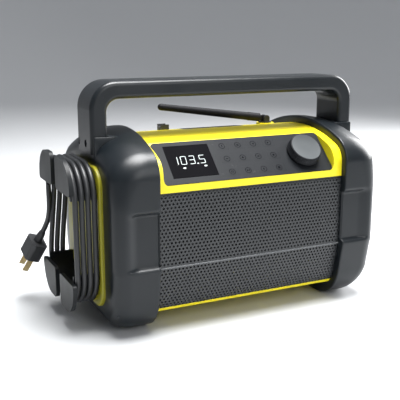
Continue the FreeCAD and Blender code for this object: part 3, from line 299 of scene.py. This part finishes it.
def punched_sheet(width, height, pitch, hole):
    """Cells of a bee-comb grid: each joins twelve points of its six-sided rim to twelve of its
    round hole, and the hole's wall goes back by one sheet thickness."""
    row_gap = pitch * math.sqrt(3) / 2
    columns, rows = int(width / pitch), int(height / row_gap)
    i, j = np.meshgrid(np.arange(columns), np.arange(rows), indexing="ij")
    middle_x = (i - (columns - 1) / 2 + 0.5 * (j % 2) - 0.25) * pitch
    middle_y = (j + 0.5) * row_gap
    corners = 12
    angle = np.radians(np.arange(0, 360, 30) + 30.0)
    circle = np.stack([np.cos(angle), np.sin(angle)], 1)
    rim_reach = np.where(np.arange(corners) % 2 == 0, 1 / math.sqrt(3), 0.5) * pitch
    ring = np.concatenate([circle * rim_reach[:, None], circle * hole / 2, circle * hole / 2])
    px = np.clip(middle_x.reshape(-1, 1) + ring[:, 0], -width / 2, width / 2)
    py = np.clip(middle_y.reshape(-1, 1) + ring[:, 1], 0, height)
    depth = np.broadcast_to(np.repeat([0.0, 0.0, 1.0], corners), px.shape)
    k = np.arange(corners)
    after = (k + 1) % corners
    cell = np.concatenate([
        np.stack([k, after, corners + after, corners + k], 1),
        np.stack([corners + k, corners + after, 2 * corners + after, 2 * corners + k], 1)])
    faces = (np.arange(len(px))[:, None, None] * 3 * corners + cell).reshape(-1, 4)
    return px.ravel(), py.ravel(), depth.ravel(), faces.tolist()


along, line = grille_line()
across, up, depth, faces = punched_sheet(grille_width, along[-1], hole_pitch, hole_diameter)
y, z, ny, nz = (np.interp(up, along, part) for part in line)
grille_paint = moulded("grille_paint", (0.022, 0.024, 0.026), roughness=0.36, grain=1600, pit=0.01,
                       scuff=0.02)
grille = mesh_piece("punched_grille",
                    place(across, y - ny * depth * sheet_thickness,
                          z - nz * depth * sheet_thickness),
                    faces, grille_paint, smooth=False)
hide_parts("speaker_grille")

# A bead is pressed outwards across the grille's lower half to stiffen it. Its
# paint is paler than the sheet's: a painted highlight where its crest catches light.


def grid_faces(rows, columns, wrap=False, flip=False):
    """Four-cornered faces over a grid of points, row after row; with wrap, each row is a ring."""
    i = np.arange(rows - 1)[:, None]
    j = np.arange(columns if wrap else columns - 1)[None, :]
    i_next, j_next = i + 1, (j + 1) % columns
    quads = np.stack([i * columns + j, i_next * columns + j,
                      i_next * columns + j_next, i * columns + j_next], axis=-1).reshape(-1, 4)
    return (quads[:, ::-1] if flip else quads).tolist()


def rounded_block(low, high, radius):
    """A box whose edges are rolled: each surface point is pulled onto a sphere of the edge
    radius about the nearest point of the inner box."""
    count = 7
    low, high = np.array(low, float), np.array(high, float)
    steps = 0.5 - 0.5 * np.cos(np.linspace(0, math.pi, count))
    a, b = np.meshgrid(steps, steps, indexing="ij")
    points, faces = [], []
    for axis in range(3):
        for end in (0, 1):
            unit = np.zeros((count, count, 3))
            unit[..., axis] = end
            unit[..., (axis + 1) % 3] = a
            unit[..., (axis + 2) % 3] = b
            side = np.array(grid_faces(count, count, flip=end == 0))
            faces += (side + len(points) * count * count).tolist()
            points.append((low + unit * (high - low)).reshape(-1, 3))
    points = np.vstack(points)
    core = np.clip(points, low + radius, high - radius)
    away = points - core
    long = np.linalg.norm(away, axis=1, keepdims=True)
    return core + away / np.maximum(long, 1e-9) * radius, faces


def blocks_piece(name, blocks, material):
    """Several rolled boxes, each given by two corners and an edge radius, in one mesh."""
    points, faces = [], []
    for low, high, radius in blocks:
        block_points, block_faces = rounded_block(low, high, radius)
        faces += (np.array(block_faces) + sum(map(len, points))).tolist()
        points.append(block_points)
    return mesh_piece(name, place(*np.vstack(points).T), faces, material)


bead = ((-104.6, 6.8, 65.8), (104.6, 8.8, 67.4), 0.75)
# Pale grey on the bead: a painted highlight along its crest, not the sheet's own paint.
bead_painted_highlight = moulded("bead_painted_highlight", (0.10, 0.105, 0.11), roughness=0.3, grain=1600, pit=0.01,
                     scuff=0.0)
blocks_piece("grille_bead", [bead], bead_painted_highlight)

# Behind the seam on the crown a dark cover of the rear wall reaches forward,
# under the stowed aerial. It is snapped into the yellow shell.
cover_front, cover_rear = 96, 152
cover_left, cover_right = -39, 38
shell_inset = 8
cover_rise, rolled_edge, cover_sink = 0.55, 1.2, 0.15


def eased(value):
    """A smooth step from 0 to 1: three squares less two cubes."""
    value = np.clip(value, 0, 1)
    return value * value * (3 - 2 * value)


def crown_height(y):
    """Height of the upper shell at a distance back: the top of the crown's circle, set in."""
    return (top_height - crown_radius
            + np.sqrt((crown_radius - shell_inset) ** 2 - (y - half_depth) ** 2))


y, x = np.meshgrid(np.linspace(cover_front, cover_rear, 30),
                   np.linspace(cover_left, cover_right, 12), indexing="ij")
rim = np.minimum.reduce([y - cover_front, cover_rear - y, x - cover_left, cover_right - x])
z = crown_height(y) + cover_rise * eased(rim / rolled_edge) - cover_sink
mesh_piece("crown_cover", place(x, y, z), grid_faces(*x.shape, flip=True), dark_moulding)

# The control panel is a flat dark plate on the slope. Its twelve keys are of
# the same plastic, each over a switch on the board behind, and show only as
# fine outlines.
tilt = math.radians(44)
slope_y, slope_z = 8, 147.5


def on_panel(x, up, out):
    """A point of the sloping panel from its middle, its lower edge and its face: up and out
    are turned by the tilt and added to the lower edge's place."""
    up, out = np.asarray(up, float), np.asarray(out, float)
    return place(x, slope_y + up * math.cos(tilt) - out * math.sin(tilt),
                 slope_z + up * math.sin(tilt) + out * math.cos(tilt))


def key_middle(row, column):
    """The middle of a key, counted from the upper left one."""
    first_x, column_pitch = -22.5, 18
    last_up, row_pitch = 9, 16
    return first_x + column_pitch * (column - 1), last_up + row_pitch * (3 - row)


panel_plastic = moulded("panel_plastic", (0.0085, 0.0100, 0.0122), roughness=0.5, grain=1400,
                        pit=0.01, specular=0.15)
finish_nodes(panel_plastic, "control_panel")
finish_nodes(solder_mask, "key_board")
key_half_width, key_half_height = 6.7, 4.95
key_back, key_front = -4.1, 0.03
key_edge = 0.1
key_places = [(row, column) for row in (1, 2, 3) for column in (1, 2, 3, 4)]
for row, column in key_places:
    x, up = key_middle(row, column)
    points, faces = rounded_block((x - key_half_width, up - key_half_height, key_back),
                                  (x + key_half_width, up + key_half_height, key_front),
                                  key_edge)
    key = mesh_piece(f"key_top_{row}_{column}", on_panel(*points.T), faces, panel_plastic,
                     body=f"key_{row}_{column}")
    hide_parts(f"key_{row}_{column}")

# The display is a black window, glued into the panel over its module. White
# segments show the figures of a station.
window_black = moulded("window_black", (0.002, 0.002, 0.003), roughness=0.5, grain=200, pit=0.001,
                       blotch=0.0, scuff=0.0, specular=0.02)
finish_nodes(window_black, "display_window")
finish_nodes(dark_moulding, "display_module")
segment_white = moulded("segment_white", (0.62, 0.68, 0.68), roughness=0.5, blotch=0.0, scuff=0.0)
segment_light = segment_white.node_tree.nodes["Principled BSDF"]
segment_light.inputs["Emission Color"].default_value = (0.9, 0.95, 1.0, 1)
segment_light.inputs["Emission Strength"].default_value = 0.15

lit_segments = {"0": "abcdef", "1": "bc", "3": "abcdg", "5": "acdfg"}
segment_ends = {"a": ((0, 2), (1, 2)), "b": ((1, 2), (1, 1)), "c": ((1, 1), (1, 0)),
                "d": ((0, 0), (1, 0)), "e": ((0, 1), (0, 0)), "f": ((0, 2), (0, 1)),
                "g": ((0, 1), (1, 1))}
figure_width, figure_height, bar_width = 5.4, 9.4, 0.5
figure_slant = 0.08
figure_foot = 22.5


def segment_bar(start, end):
    """A flat bar between two points, whose sides stop short of its pointed ends."""
    start, end = np.array(start, float), np.array(end, float)
    along = (end - start) / np.linalg.norm(end - start)
    across = np.array([-along[1], along[0]]) * bar_width / 2
    taper, gap = along * bar_width * 0.6, along * 0.1
    return np.array([start + gap, start + taper - across, end - taper - across, end - gap,
                     end - taper + across, start + taper + across])


def figure_bars(figure, x):
    """The lit bars of one figure; each point moves right by a share of its height."""
    bars = []
    for key in lit_segments[figure]:
        ends = np.array(segment_ends[key]) * [figure_width, figure_height / 2]
        bar = segment_bar(*(ends + [x, figure_foot]))
        bar[:, 0] += (bar[:, 1] - figure_foot) * figure_slant
        bars.append(bar)
    return bars


def printed(name, outlines, material, lift, body="case"):
    """Flat shapes a hair above the panel's face, each one face."""
    points, faces, base = [], [], 0
    for outline in outlines:
        points.append(on_panel(outline[:, 0], outline[:, 1], np.full(len(outline), lift)))
        faces.append(list(range(base, base + len(outline))))
        base += len(outline)
    return mesh_piece(name, np.vstack(points), faces, material, body, smooth=False)


bars = []
for figure, x in (("1", -81.5), ("0", -72.5), ("3", -63.5), ("5", -52.5)):
    bars += figure_bars(figure, x)
turn = np.linspace(0, 2 * math.pi, 12, endpoint=False)
round_dot = np.stack([np.cos(turn), np.sin(turn)], 1)
decimal_point = round_dot * 0.75 + [-55.2, 22.4]
small_sign = round_dot * [1.6, 0.8]
bars += [decimal_point, small_sign + [-71.0, 18.0], small_sign + [-48.0, 19.0]]
figure_lift = 0.05
printed("display_figures", bars, segment_white, figure_lift)

# Each key carries a dark ring with a plain mark inside it, printed on its face.
# The ring is broken into short arcs.
mark_ink = moulded("mark_ink", (0.001, 0.001, 0.002), roughness=0.7, blotch=0.0, scuff=0.0,
                   specular=0.0)
mark_lift = 0.06
ring_radius, ring_width, ring_arcs, arc_share = 3.5, 0.6, 10, 0.86


def broken_ring():
    """Four-cornered pieces between an outer and an inner circle; each fills a share of its
    equal part of the turn."""
    start = np.linspace(0, 2 * math.pi, ring_arcs, endpoint=False)
    end = start + 2 * math.pi / ring_arcs * arc_share
    turns = np.stack([start, end, end, start], 1)
    radii = np.array([ring_radius, ring_radius, ring_radius - ring_width,
                      ring_radius - ring_width])
    return list(np.stack([radii * np.cos(turns), radii * np.sin(turns)], -1))


upright = np.array([(-0.35, -1.3), (0.35, -1.3), (0.35, 1.3), (-0.35, 1.3)])
level = np.array([(-1.3, -0.35), (1.3, -0.35), (1.3, 0.35), (-1.3, 0.35)])
arrow = np.array([(-1.0, -1.2), (1.1, 0.0), (-1.0, 1.2)])
back_arrow = arrow[::-1] * [-1, 1]
key_marks = [[upright], [level + [0, 0.7], level - [0, 0.7]], [back_arrow], [arrow],
             [level], [level, upright], [round_dot * [1.5, 0.6]], [round_dot * 1.1],
             [upright - [0.8, 0], upright + [0.8, 0]], [arrow - [0.4, 0], upright + [1.4, 0]],
             [round_dot * [0.6, 1.4]], [level - [0, 0.9], level, level + [0, 0.9]]]
for (row, column), shapes in zip(key_places, key_marks):
    outlines = [shape + key_middle(row, column) for shape in shapes + broken_ring()]
    printed(f"key_mark_{row}_{column}", outlines, mark_ink, mark_lift,
            f"key_{row}_{column}")

# The volume knob is moulded in soft grey rubber, with a paler flat face, a
# rolled rim and fine grip flutes. It is pushed onto the steel shaft of the
# rotary encoder behind the panel.


def turned(profile, count, flutes=0, deep=0.0):
    """A profile carried once round an axis. Its columns are radius, height and, if given, how
    far the flutes reach; a cosine ripple makes the radius smaller there by up to deep."""
    profile = np.array(profile, float)
    angle = np.linspace(0, 2 * math.pi, count, endpoint=False)
    ripple = 1 - deep * (0.5 + 0.5 * np.cos(flutes * angle))
    grip = profile[:, 2:3] if profile.shape[1] > 2 else np.zeros((len(profile), 1))
    radius = profile[:, :1] * (1 - grip + grip * ripple)
    return radius * np.cos(angle), radius * np.sin(angle), profile[:, 1:2] + 0 * angle


def closed_ends(faces, rows, columns, flip=False):
    """The faces of a wrapped grid with one flat face more over its first and its last ring."""
    first, last = list(range(columns)), list(range((rows - 1) * columns, rows * columns))
    return faces + [first[::-1] if flip else first, last if flip else last[::-1]]


zinc_steel = metal("zinc_steel", (0.5, 0.51, 0.52), roughness=0.3)
finish_nodes(zinc_steel, "rotary_encoder", "encoder_shaft")
knob_x, knob_up = 66.5, 24.5
knob_profile = [(4.0, 1.0, 0), (17.4, 1.0, 0), (18.0, 1.4, 0), (18.0, 3.0, 0),
                (17.8, 3.2, 1), (17.4, 9.0, 1), (17.2, 9.6, 0), (16.7, 10.2, 0),
                (16.0, 10.45, 0), (15.5, 10.35, 0), (15.3, 10.2, 0), (4.0, 10.2, 0)]
around_knob = 384
x, up, out = turned(knob_profile, around_knob, flutes=48, deep=0.02)
faces = closed_ends(grid_faces(*x.shape, wrap=True, flip=True), *x.shape, flip=True)
knob_rubber = moulded("knob_rubber", (0.010, 0.011, 0.013), roughness=0.6, grain=1400,
                      specular=0.15)
knob_face = moulded("knob_face", (0.062, 0.068, 0.071), roughness=0.6, grain=1400, specular=0.12)
knob = mesh_piece("grip_knob", on_panel(knob_x + x, knob_up + up, out), faces, knob_rubber,
                  body="knob")
knob.data.materials.append(knob_face)
face_from_ring = 8
front_faces = np.zeros(len(faces), np.int32)
front_faces[face_from_ring * around_knob:(len(knob_profile) - 1) * around_knob] = 1
front_faces[-1] = 1
knob.data.polygons.foreach_set("material_index", front_faces)
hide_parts("volume_knob")

# The two bumpers are soft-touch rubber over a moulded core. Each is one smooth
# form with a shallow hollow in its front, and closes one end of the radio.
bumper_inner, bumper_outer = 105.0, 150.0
flange_insets = (16.0, 8.0, 3.2)
lip_radius = 1.2
front_reach, crown_reach, under_reach = 16, 24, 8
front_drop, crown_drop, under_drop = 15, 9, 7
crown_from, crown_blend = 125, 68
hollow_depth = 5.0
hollow_low, hollow_high, hollow_end = 69.0, 126.5, 141.0
low_ramp, high_ramp, end_ramp = 2.0, 6.0, 15.0
end_middle_y, end_middle_z = half_depth, 98.0


def bumper_points():
    """Outline points carried across the bumper. From a flange inside the shell each turns over
    a rolled lip and goes straight out, then inwards along a quarter ellipse, whose reach and
    drop are small on the front and grow on the crown and underneath, then straight to the
    middle. The hollow sinks the front by a depth that is eased at its edges."""
    y, z, ny, nz = side_outline(460)
    on_crown, under = eased((z - crown_from) / crown_blend), eased(-nz / 0.95)
    reach = front_reach + crown_reach * on_crown + under_reach * under
    drop = front_drop + crown_drop * on_crown + under_drop * under
    lip_x = bumper_inner + lip_radius
    rows = []
    for inset in flange_insets:
        rows.append((np.full_like(y, bumper_inner), np.full_like(y, inset)))
    for angle in np.radians([30, 60, 90]):
        rows.append((np.full_like(y, lip_x - lip_radius * math.cos(angle)),
                     np.full_like(y, lip_radius - lip_radius * math.sin(angle))))
    for share in np.linspace(0, 1, 28)[1:]:
        rows.append((lip_x + (bumper_outer - reach - lip_x) * share, np.zeros_like(y)))
    for angle in np.radians(np.linspace(0, 90, 18)[1:]):
        rows.append((bumper_outer - reach * (1 - math.sin(angle)),
                     drop * (1 - math.cos(angle))))
    x, inset = (np.array(part) for part in zip(*rows))
    on_front = ny < -0.8
    down = eased((hollow_high - z) / high_ramp) * eased((z - hollow_low) / low_ramp) * on_front
    hollow = hollow_depth * down * eased((hollow_end - x) / end_ramp)
    hollow[:len(flange_insets)] = 0
    inset = inset + np.where(inset < 12, hollow, 0)
    py, pz = y - ny * inset, z - nz * inset
    ring_y, ring_z = py[-3], pz[-3]
    for share in (0.85, 0.6, 0.3):
        x = np.vstack([x, np.full_like(y, bumper_outer)])
        py = np.vstack([py, end_middle_y + (ring_y - end_middle_y) * share])
        pz = np.vstack([pz, end_middle_z + (ring_z - end_middle_z) * share])
    return x, py, pz


bumper_rubber = moulded("bumper_rubber", (0.0062, 0.0088, 0.0112), roughness=0.34, grain=1300,
                        pit=0.012, blotch=0.10, scuff=0.02, specular=0.36)
x, y, z = bumper_points()
for side, word in ((1, "right"), (-1, "left")):
    outwards = side > 0
    faces = closed_ends(grid_faces(*x.shape, wrap=True, flip=outwards), *x.shape, flip=outwards)
    bumper = mesh_piece(f"bumper_{word}", place(side * x, y, z), faces, bumper_rubber)
    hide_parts(f"{word}_end_cap")

# Each bumper carries a moulded socket block into which a leg of the handle
# drops: a thick inner wall with a thin cheek in front and behind, and a ledge
# under the leg.
inner_wall = ((118, 54, 150), (134.8, 106, 190), 1.3)
front_cheek = ((128, 54, 163), (150, 56.8, 190), 1.2)
rear_cheek = ((128, 103.2, 163), (150, 106, 190), 1.2)
leg_ledge = ((128, 54, 160), (149.7, 106, 172.8), 1.2)
right_walls = [inner_wall, front_cheek, rear_cheek, leg_ledge]
left_walls = [((-high[0], low[1], low[2]), (-low[0], high[1], high[2]), radius)
              for low, high, radius in right_walls]
blocks_piece("handle_socket_right", right_walls, bumper_rubber)
blocks_piece("handle_socket_left", left_walls, bumper_rubber)

# The carry handle is one thick arch, moulded in dark plastic with rolled edges.
# Its legs stand in the bumpers' sockets, where blackened screws hold them.
handle_plastic = moulded("handle_plastic", (0.0070, 0.0092, 0.0112), roughness=0.33, grain=1100,
                         pit=0.012, scuff=0.03, specular=0.4)
finish_nodes(handle_plastic, "carry_handle")
finish_nodes(blackened_steel, "handle_screws")

# The aerial is a springy rod in a ribbed rubber sleeve with a collar at its
# foot. It folds on a pin in a dark knuckle, which swivels in the upper shell,
# and rests in a clip on the crown.
fold_pin_x, fold_pin_y, fold_pin_z = 76, 118, 191.235
resting_rise = math.radians(7.9)
sleeve_foot, collar_end, sleeve_end = 8.2, 23.0, 131.5
foot_radius, collar_radius, sleeve_radius, tip_radius = 4.0, 4.82, 4.62, 3.62
collar_ribs = {"start": 10, "end": 21, "depth": 0.35, "pitch": 2.6}
sleeve_ribs = {"start": 23.4, "end": 128, "depth": 0.22, "pitch": 1.8}
around_sleeve = 28


def along_aerial(distance, radius, angle):
    """A point round the aerial's line, from the fold pin towards its tip: the line goes left and
    rises, and the ring's two directions are the radio's depth and the line's upper side."""
    side, over = radius * np.cos(angle), radius * np.sin(angle)
    return place(
        fold_pin_x - distance * math.cos(resting_rise) + over * math.sin(resting_rise),
        fold_pin_y + side,
        fold_pin_z + distance * math.sin(resting_rise) + over * math.cos(resting_rise))


def rib_depth(distance, start, end, depth, pitch):
    """How far the ribs cut in at each distance: a cosine wave between a start and an end."""
    wave = depth * (0.5 + 0.5 * np.cos(distance * 2 * math.pi / pitch))
    return np.where((distance > start) & (distance < end), wave, 0)


tip_distance = sleeve_end + tip_radius * np.sin(np.radians(np.arange(0, 91, 15)))
distance = np.r_[sleeve_foot, sleeve_foot, np.arange(8.5, collar_end, 0.4), collar_end,
                 np.arange(23.4, 131.4, 0.45), tip_distance]
radius = np.interp(distance, [8, collar_end, collar_end + 0.01, sleeve_end],
                   [collar_radius, collar_radius, sleeve_radius, tip_radius])
radius -= rib_depth(distance, **sleeve_ribs)
radius -= rib_depth(distance, **collar_ribs)
radius[-len(tip_distance):] = tip_radius * np.cos(np.radians([0, 15, 30, 45, 60, 75, 84]))
radius[0] = foot_radius
angle = np.linspace(0, 2 * math.pi, around_sleeve, endpoint=False)
points = along_aerial(distance[:, None], radius[:, None], angle[None, :])
faces = closed_ends(grid_faces(len(distance), around_sleeve, wrap=True), len(distance),
                    around_sleeve)
aerial_rubber = moulded("aerial_rubber", (0.006, 0.006, 0.008), roughness=0.6, grain=1500,
                        specular=0.2)
mesh_piece("aerial_sleeve", points, faces, aerial_rubber, body="antenna")
finish_nodes(aerial_rubber, "antenna_rod")
finish_nodes(dark_moulding, "antenna_knuckle", "antenna_clip")
finish_nodes(blackened_steel, "antenna_pin")

# The cord winder: four curved posts with broad paddles, moulded in dark plastic
# and screwed to a yellow plate on the radio's left end.
# The side plate's yellow is darkened far below the shells' yellow: painted shade, as the radio's
# left end lies in shade.
plate_yellow_painted_shade = moulded("plate_yellow_painted_shade", (0.28, 0.26, 0.008), roughness=0.45, grain=800, pit=0.015,
                       blotch=0.1, scuff=0.02)
hook_moulding = moulded("hook_moulding", (0.0060, 0.0075, 0.0088), roughness=0.5, grain=1000,
                        pit=0.015, specular=0.26)
finish_nodes(plate_yellow_painted_shade, "winder_side_plate")
finish_nodes(hook_moulding, "cord_hook_top_rear", "cord_hook_top_front",
             "cord_hook_bottom_rear", "cord_hook_bottom_front")
finish_nodes(blackened_steel, "hook_screws")

# The mains cord is round black rubber, wound four times round the hooks. It
# starts in a moulded boot on the side plate and ends in its plug.
cord_radius = 2.8
cord_turns = 4
cord_out = -156.65
cord_pitch = 6.15
loop_low = (39.85, 26.85)
loop_high = (138.15, 165.15)
bend_radius = 32.15
boot_y = 100.0
tail_points = [(-175.2, 148.5, 88.0), (-180.3, 152.9, 76.9)]


def corner_controls(start, along, following):
    """Five control points of a quarter turn: the crossings of tangents drawn every 30 degrees."""
    half_step = math.radians(15)
    reach = bend_radius * math.tan(half_step)
    centre = start + following * bend_radius
    angles = np.radians([15, 45, 75])
    ring = (centre + np.outer(np.sin(angles), along) * bend_radius / math.cos(half_step)
            - np.outer(np.cos(angles), following) * bend_radius / math.cos(half_step))
    end = start + (along + following) * bend_radius
    return np.vstack([start - along * reach, ring, end + following * reach])


def wound_route():
    """The turns round the hooks in the plate's plane: four quarter turns each, joined by
    straights, stepping out by a pitch on the rear run; then the tail down to the plug."""
    (y0, z0), (y1, z1) = loop_low, loop_high
    forward, upward = np.array([-1.0, 0.0]), np.array([0.0, 1.0])
    corners = [(np.array([y0 + bend_radius, z0]), forward, upward),
               (np.array([y0, z1 - bend_radius]), upward, -forward),
               (np.array([y1 - bend_radius, z1]), -forward, -upward),
               (np.array([y1, z0 + bend_radius]), -upward, forward)]
    route = [(cord_out, boot_y, z0)]
    for turn in range(cord_turns):
        level = cord_out - turn * cord_pitch
        for index, (start, along, following) in enumerate(corners):
            if turn == cord_turns - 1 and index == 3:
                break
            depth = level - cord_pitch if index == 3 else level
            for y, z in corner_controls(start, along, following):
                route.append((depth, y, z))
    tail_start = (cord_out - (cord_turns - 1) * cord_pitch, y1, 106.0)
    return np.array(route + [tail_start] + tail_points)


route = place(*wound_route().T)
cord_curve = bpy.data.curves.new("mains_cord", "CURVE")
cord_curve.dimensions = "3D"
cord_curve.bevel_depth = cord_radius / 1000
cord_curve.bevel_resolution = 4
cord_curve.resolution_u = 6
spline = cord_curve.splines.new("NURBS")
spline.points.add(len(route) - 1)
spline.points.foreach_set("co", np.hstack([route, np.ones((len(route), 1))]).ravel())
spline.order_u = 3
spline.use_endpoint_u = True
cord_curve.use_fill_caps = True
mains_cord = bpy.data.objects.new("mains_cord", cord_curve)
bpy.context.collection.objects.link(mains_cord)
cord_rubber = moulded("cord_rubber", (0.016, 0.017, 0.019), roughness=0.42, grain=1500, scuff=0.03)
cord_curve.materials.append(cord_rubber)
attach(mains_cord, "case")
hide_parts("cord_winding", "cord_tail")
plug_moulding = moulded("plug_moulding", (0.02, 0.021, 0.023), roughness=0.5, grain=1100)
plug_brass = metal("plug_brass", (0.65, 0.5, 0.25), roughness=0.25)
finish_nodes(dark_moulding, "cord_gland")
finish_nodes(plug_moulding, "mains_plug")
finish_nodes(plug_brass, "plug_blades")

# The studio: a pale floor that curves up into a wall, a broad soft lamp above,
# a weaker one in front, one at the right, and an even sky.


def stage_floor():
    """A plain pale floor that curves up all round into a wall: a profile carried once round."""
    flat_reach, sweep, wall_reach, wall_top = 2.4, 1.6, 4.0, 3.6
    arc = np.radians(np.linspace(0, 90, 24))
    profile = [(0.001, 0.0), (0.6, 0.0), (1.4, 0.0), (flat_reach, 0.0)]
    profile += [(flat_reach + sweep * math.sin(a), sweep - sweep * math.cos(a))
                for a in arc[1:]]
    profile += [(wall_reach, 2.6), (wall_reach, wall_top)]
    x, y, z = turned(profile, 96)
    mesh = bpy.data.meshes.new("floor")
    points = np.stack(np.broadcast_arrays(x, y, z), axis=-1).reshape(-1, 3)
    mesh.from_pydata(points, [], grid_faces(*x.shape, wrap=True))
    mesh.polygons.foreach_set("use_smooth", np.ones(len(mesh.polygons), bool))
    floor = bpy.data.objects.new("floor", mesh)
    bpy.context.collection.objects.link(floor)
    paint = bpy.data.materials.new("studio_floor")
    paint.use_nodes = True
    shader = paint.node_tree.nodes["Principled BSDF"]
    shader.inputs["Base Color"].default_value = (0.56, 0.57, 0.58, 1)
    shader.inputs["Roughness"].default_value = 0.9
    mesh.materials.append(paint)


def area_lamp(name, place_at, size, watts):
    """A square soft lamp turned towards the radio's middle."""
    lamp = bpy.data.lights.new(name, "AREA")
    lamp.size = size
    lamp.energy = watts
    holder = bpy.data.objects.new(name, lamp)
    holder.location = place_at
    way = np.array((0, 0, 0.1)) - np.array(place_at, float)
    way /= np.linalg.norm(way)
    holder.rotation_euler = (math.acos(-way[2]), 0, math.atan2(way[0], -way[1]) + math.pi)
    bpy.context.collection.objects.link(holder)


stage_floor()
area_lamp("sky_panel", (0.10, -0.10, 1.45), 0.8, 58)
area_lamp("front_panel", (0.35, -1.7, 1.0), 1.0, 13)
area_lamp("right_panel", (1.35, 0.25, 0.65), 0.9, 36)
world = bpy.data.worlds.new("studio")
bpy.context.scene.world = world
world.use_nodes = True
world.node_tree.nodes["Background"].inputs["Color"].default_value = (0.9, 0.93, 1.0, 1)
world.node_tree.nodes["Background"].inputs["Strength"].default_value = 0.36
bpy.context.scene.view_settings.view_transform = "Standard"

# The camera stands to the left of the radio and a little above it, as in the
# photograph, with a moderately long lens.
camera_data = bpy.data.cameras.new("camera")
camera_data.lens = 64.35
camera_data.sensor_width = 36.0
camera = bpy.data.objects.new("camera", camera_data)
camera.location = (-0.3393, -0.6823, 0.2854)
camera.rotation_euler = (math.radians(77), 0, math.radians(-26))
bpy.context.collection.objects.link(camera)
bpy.context.scene.camera = camera
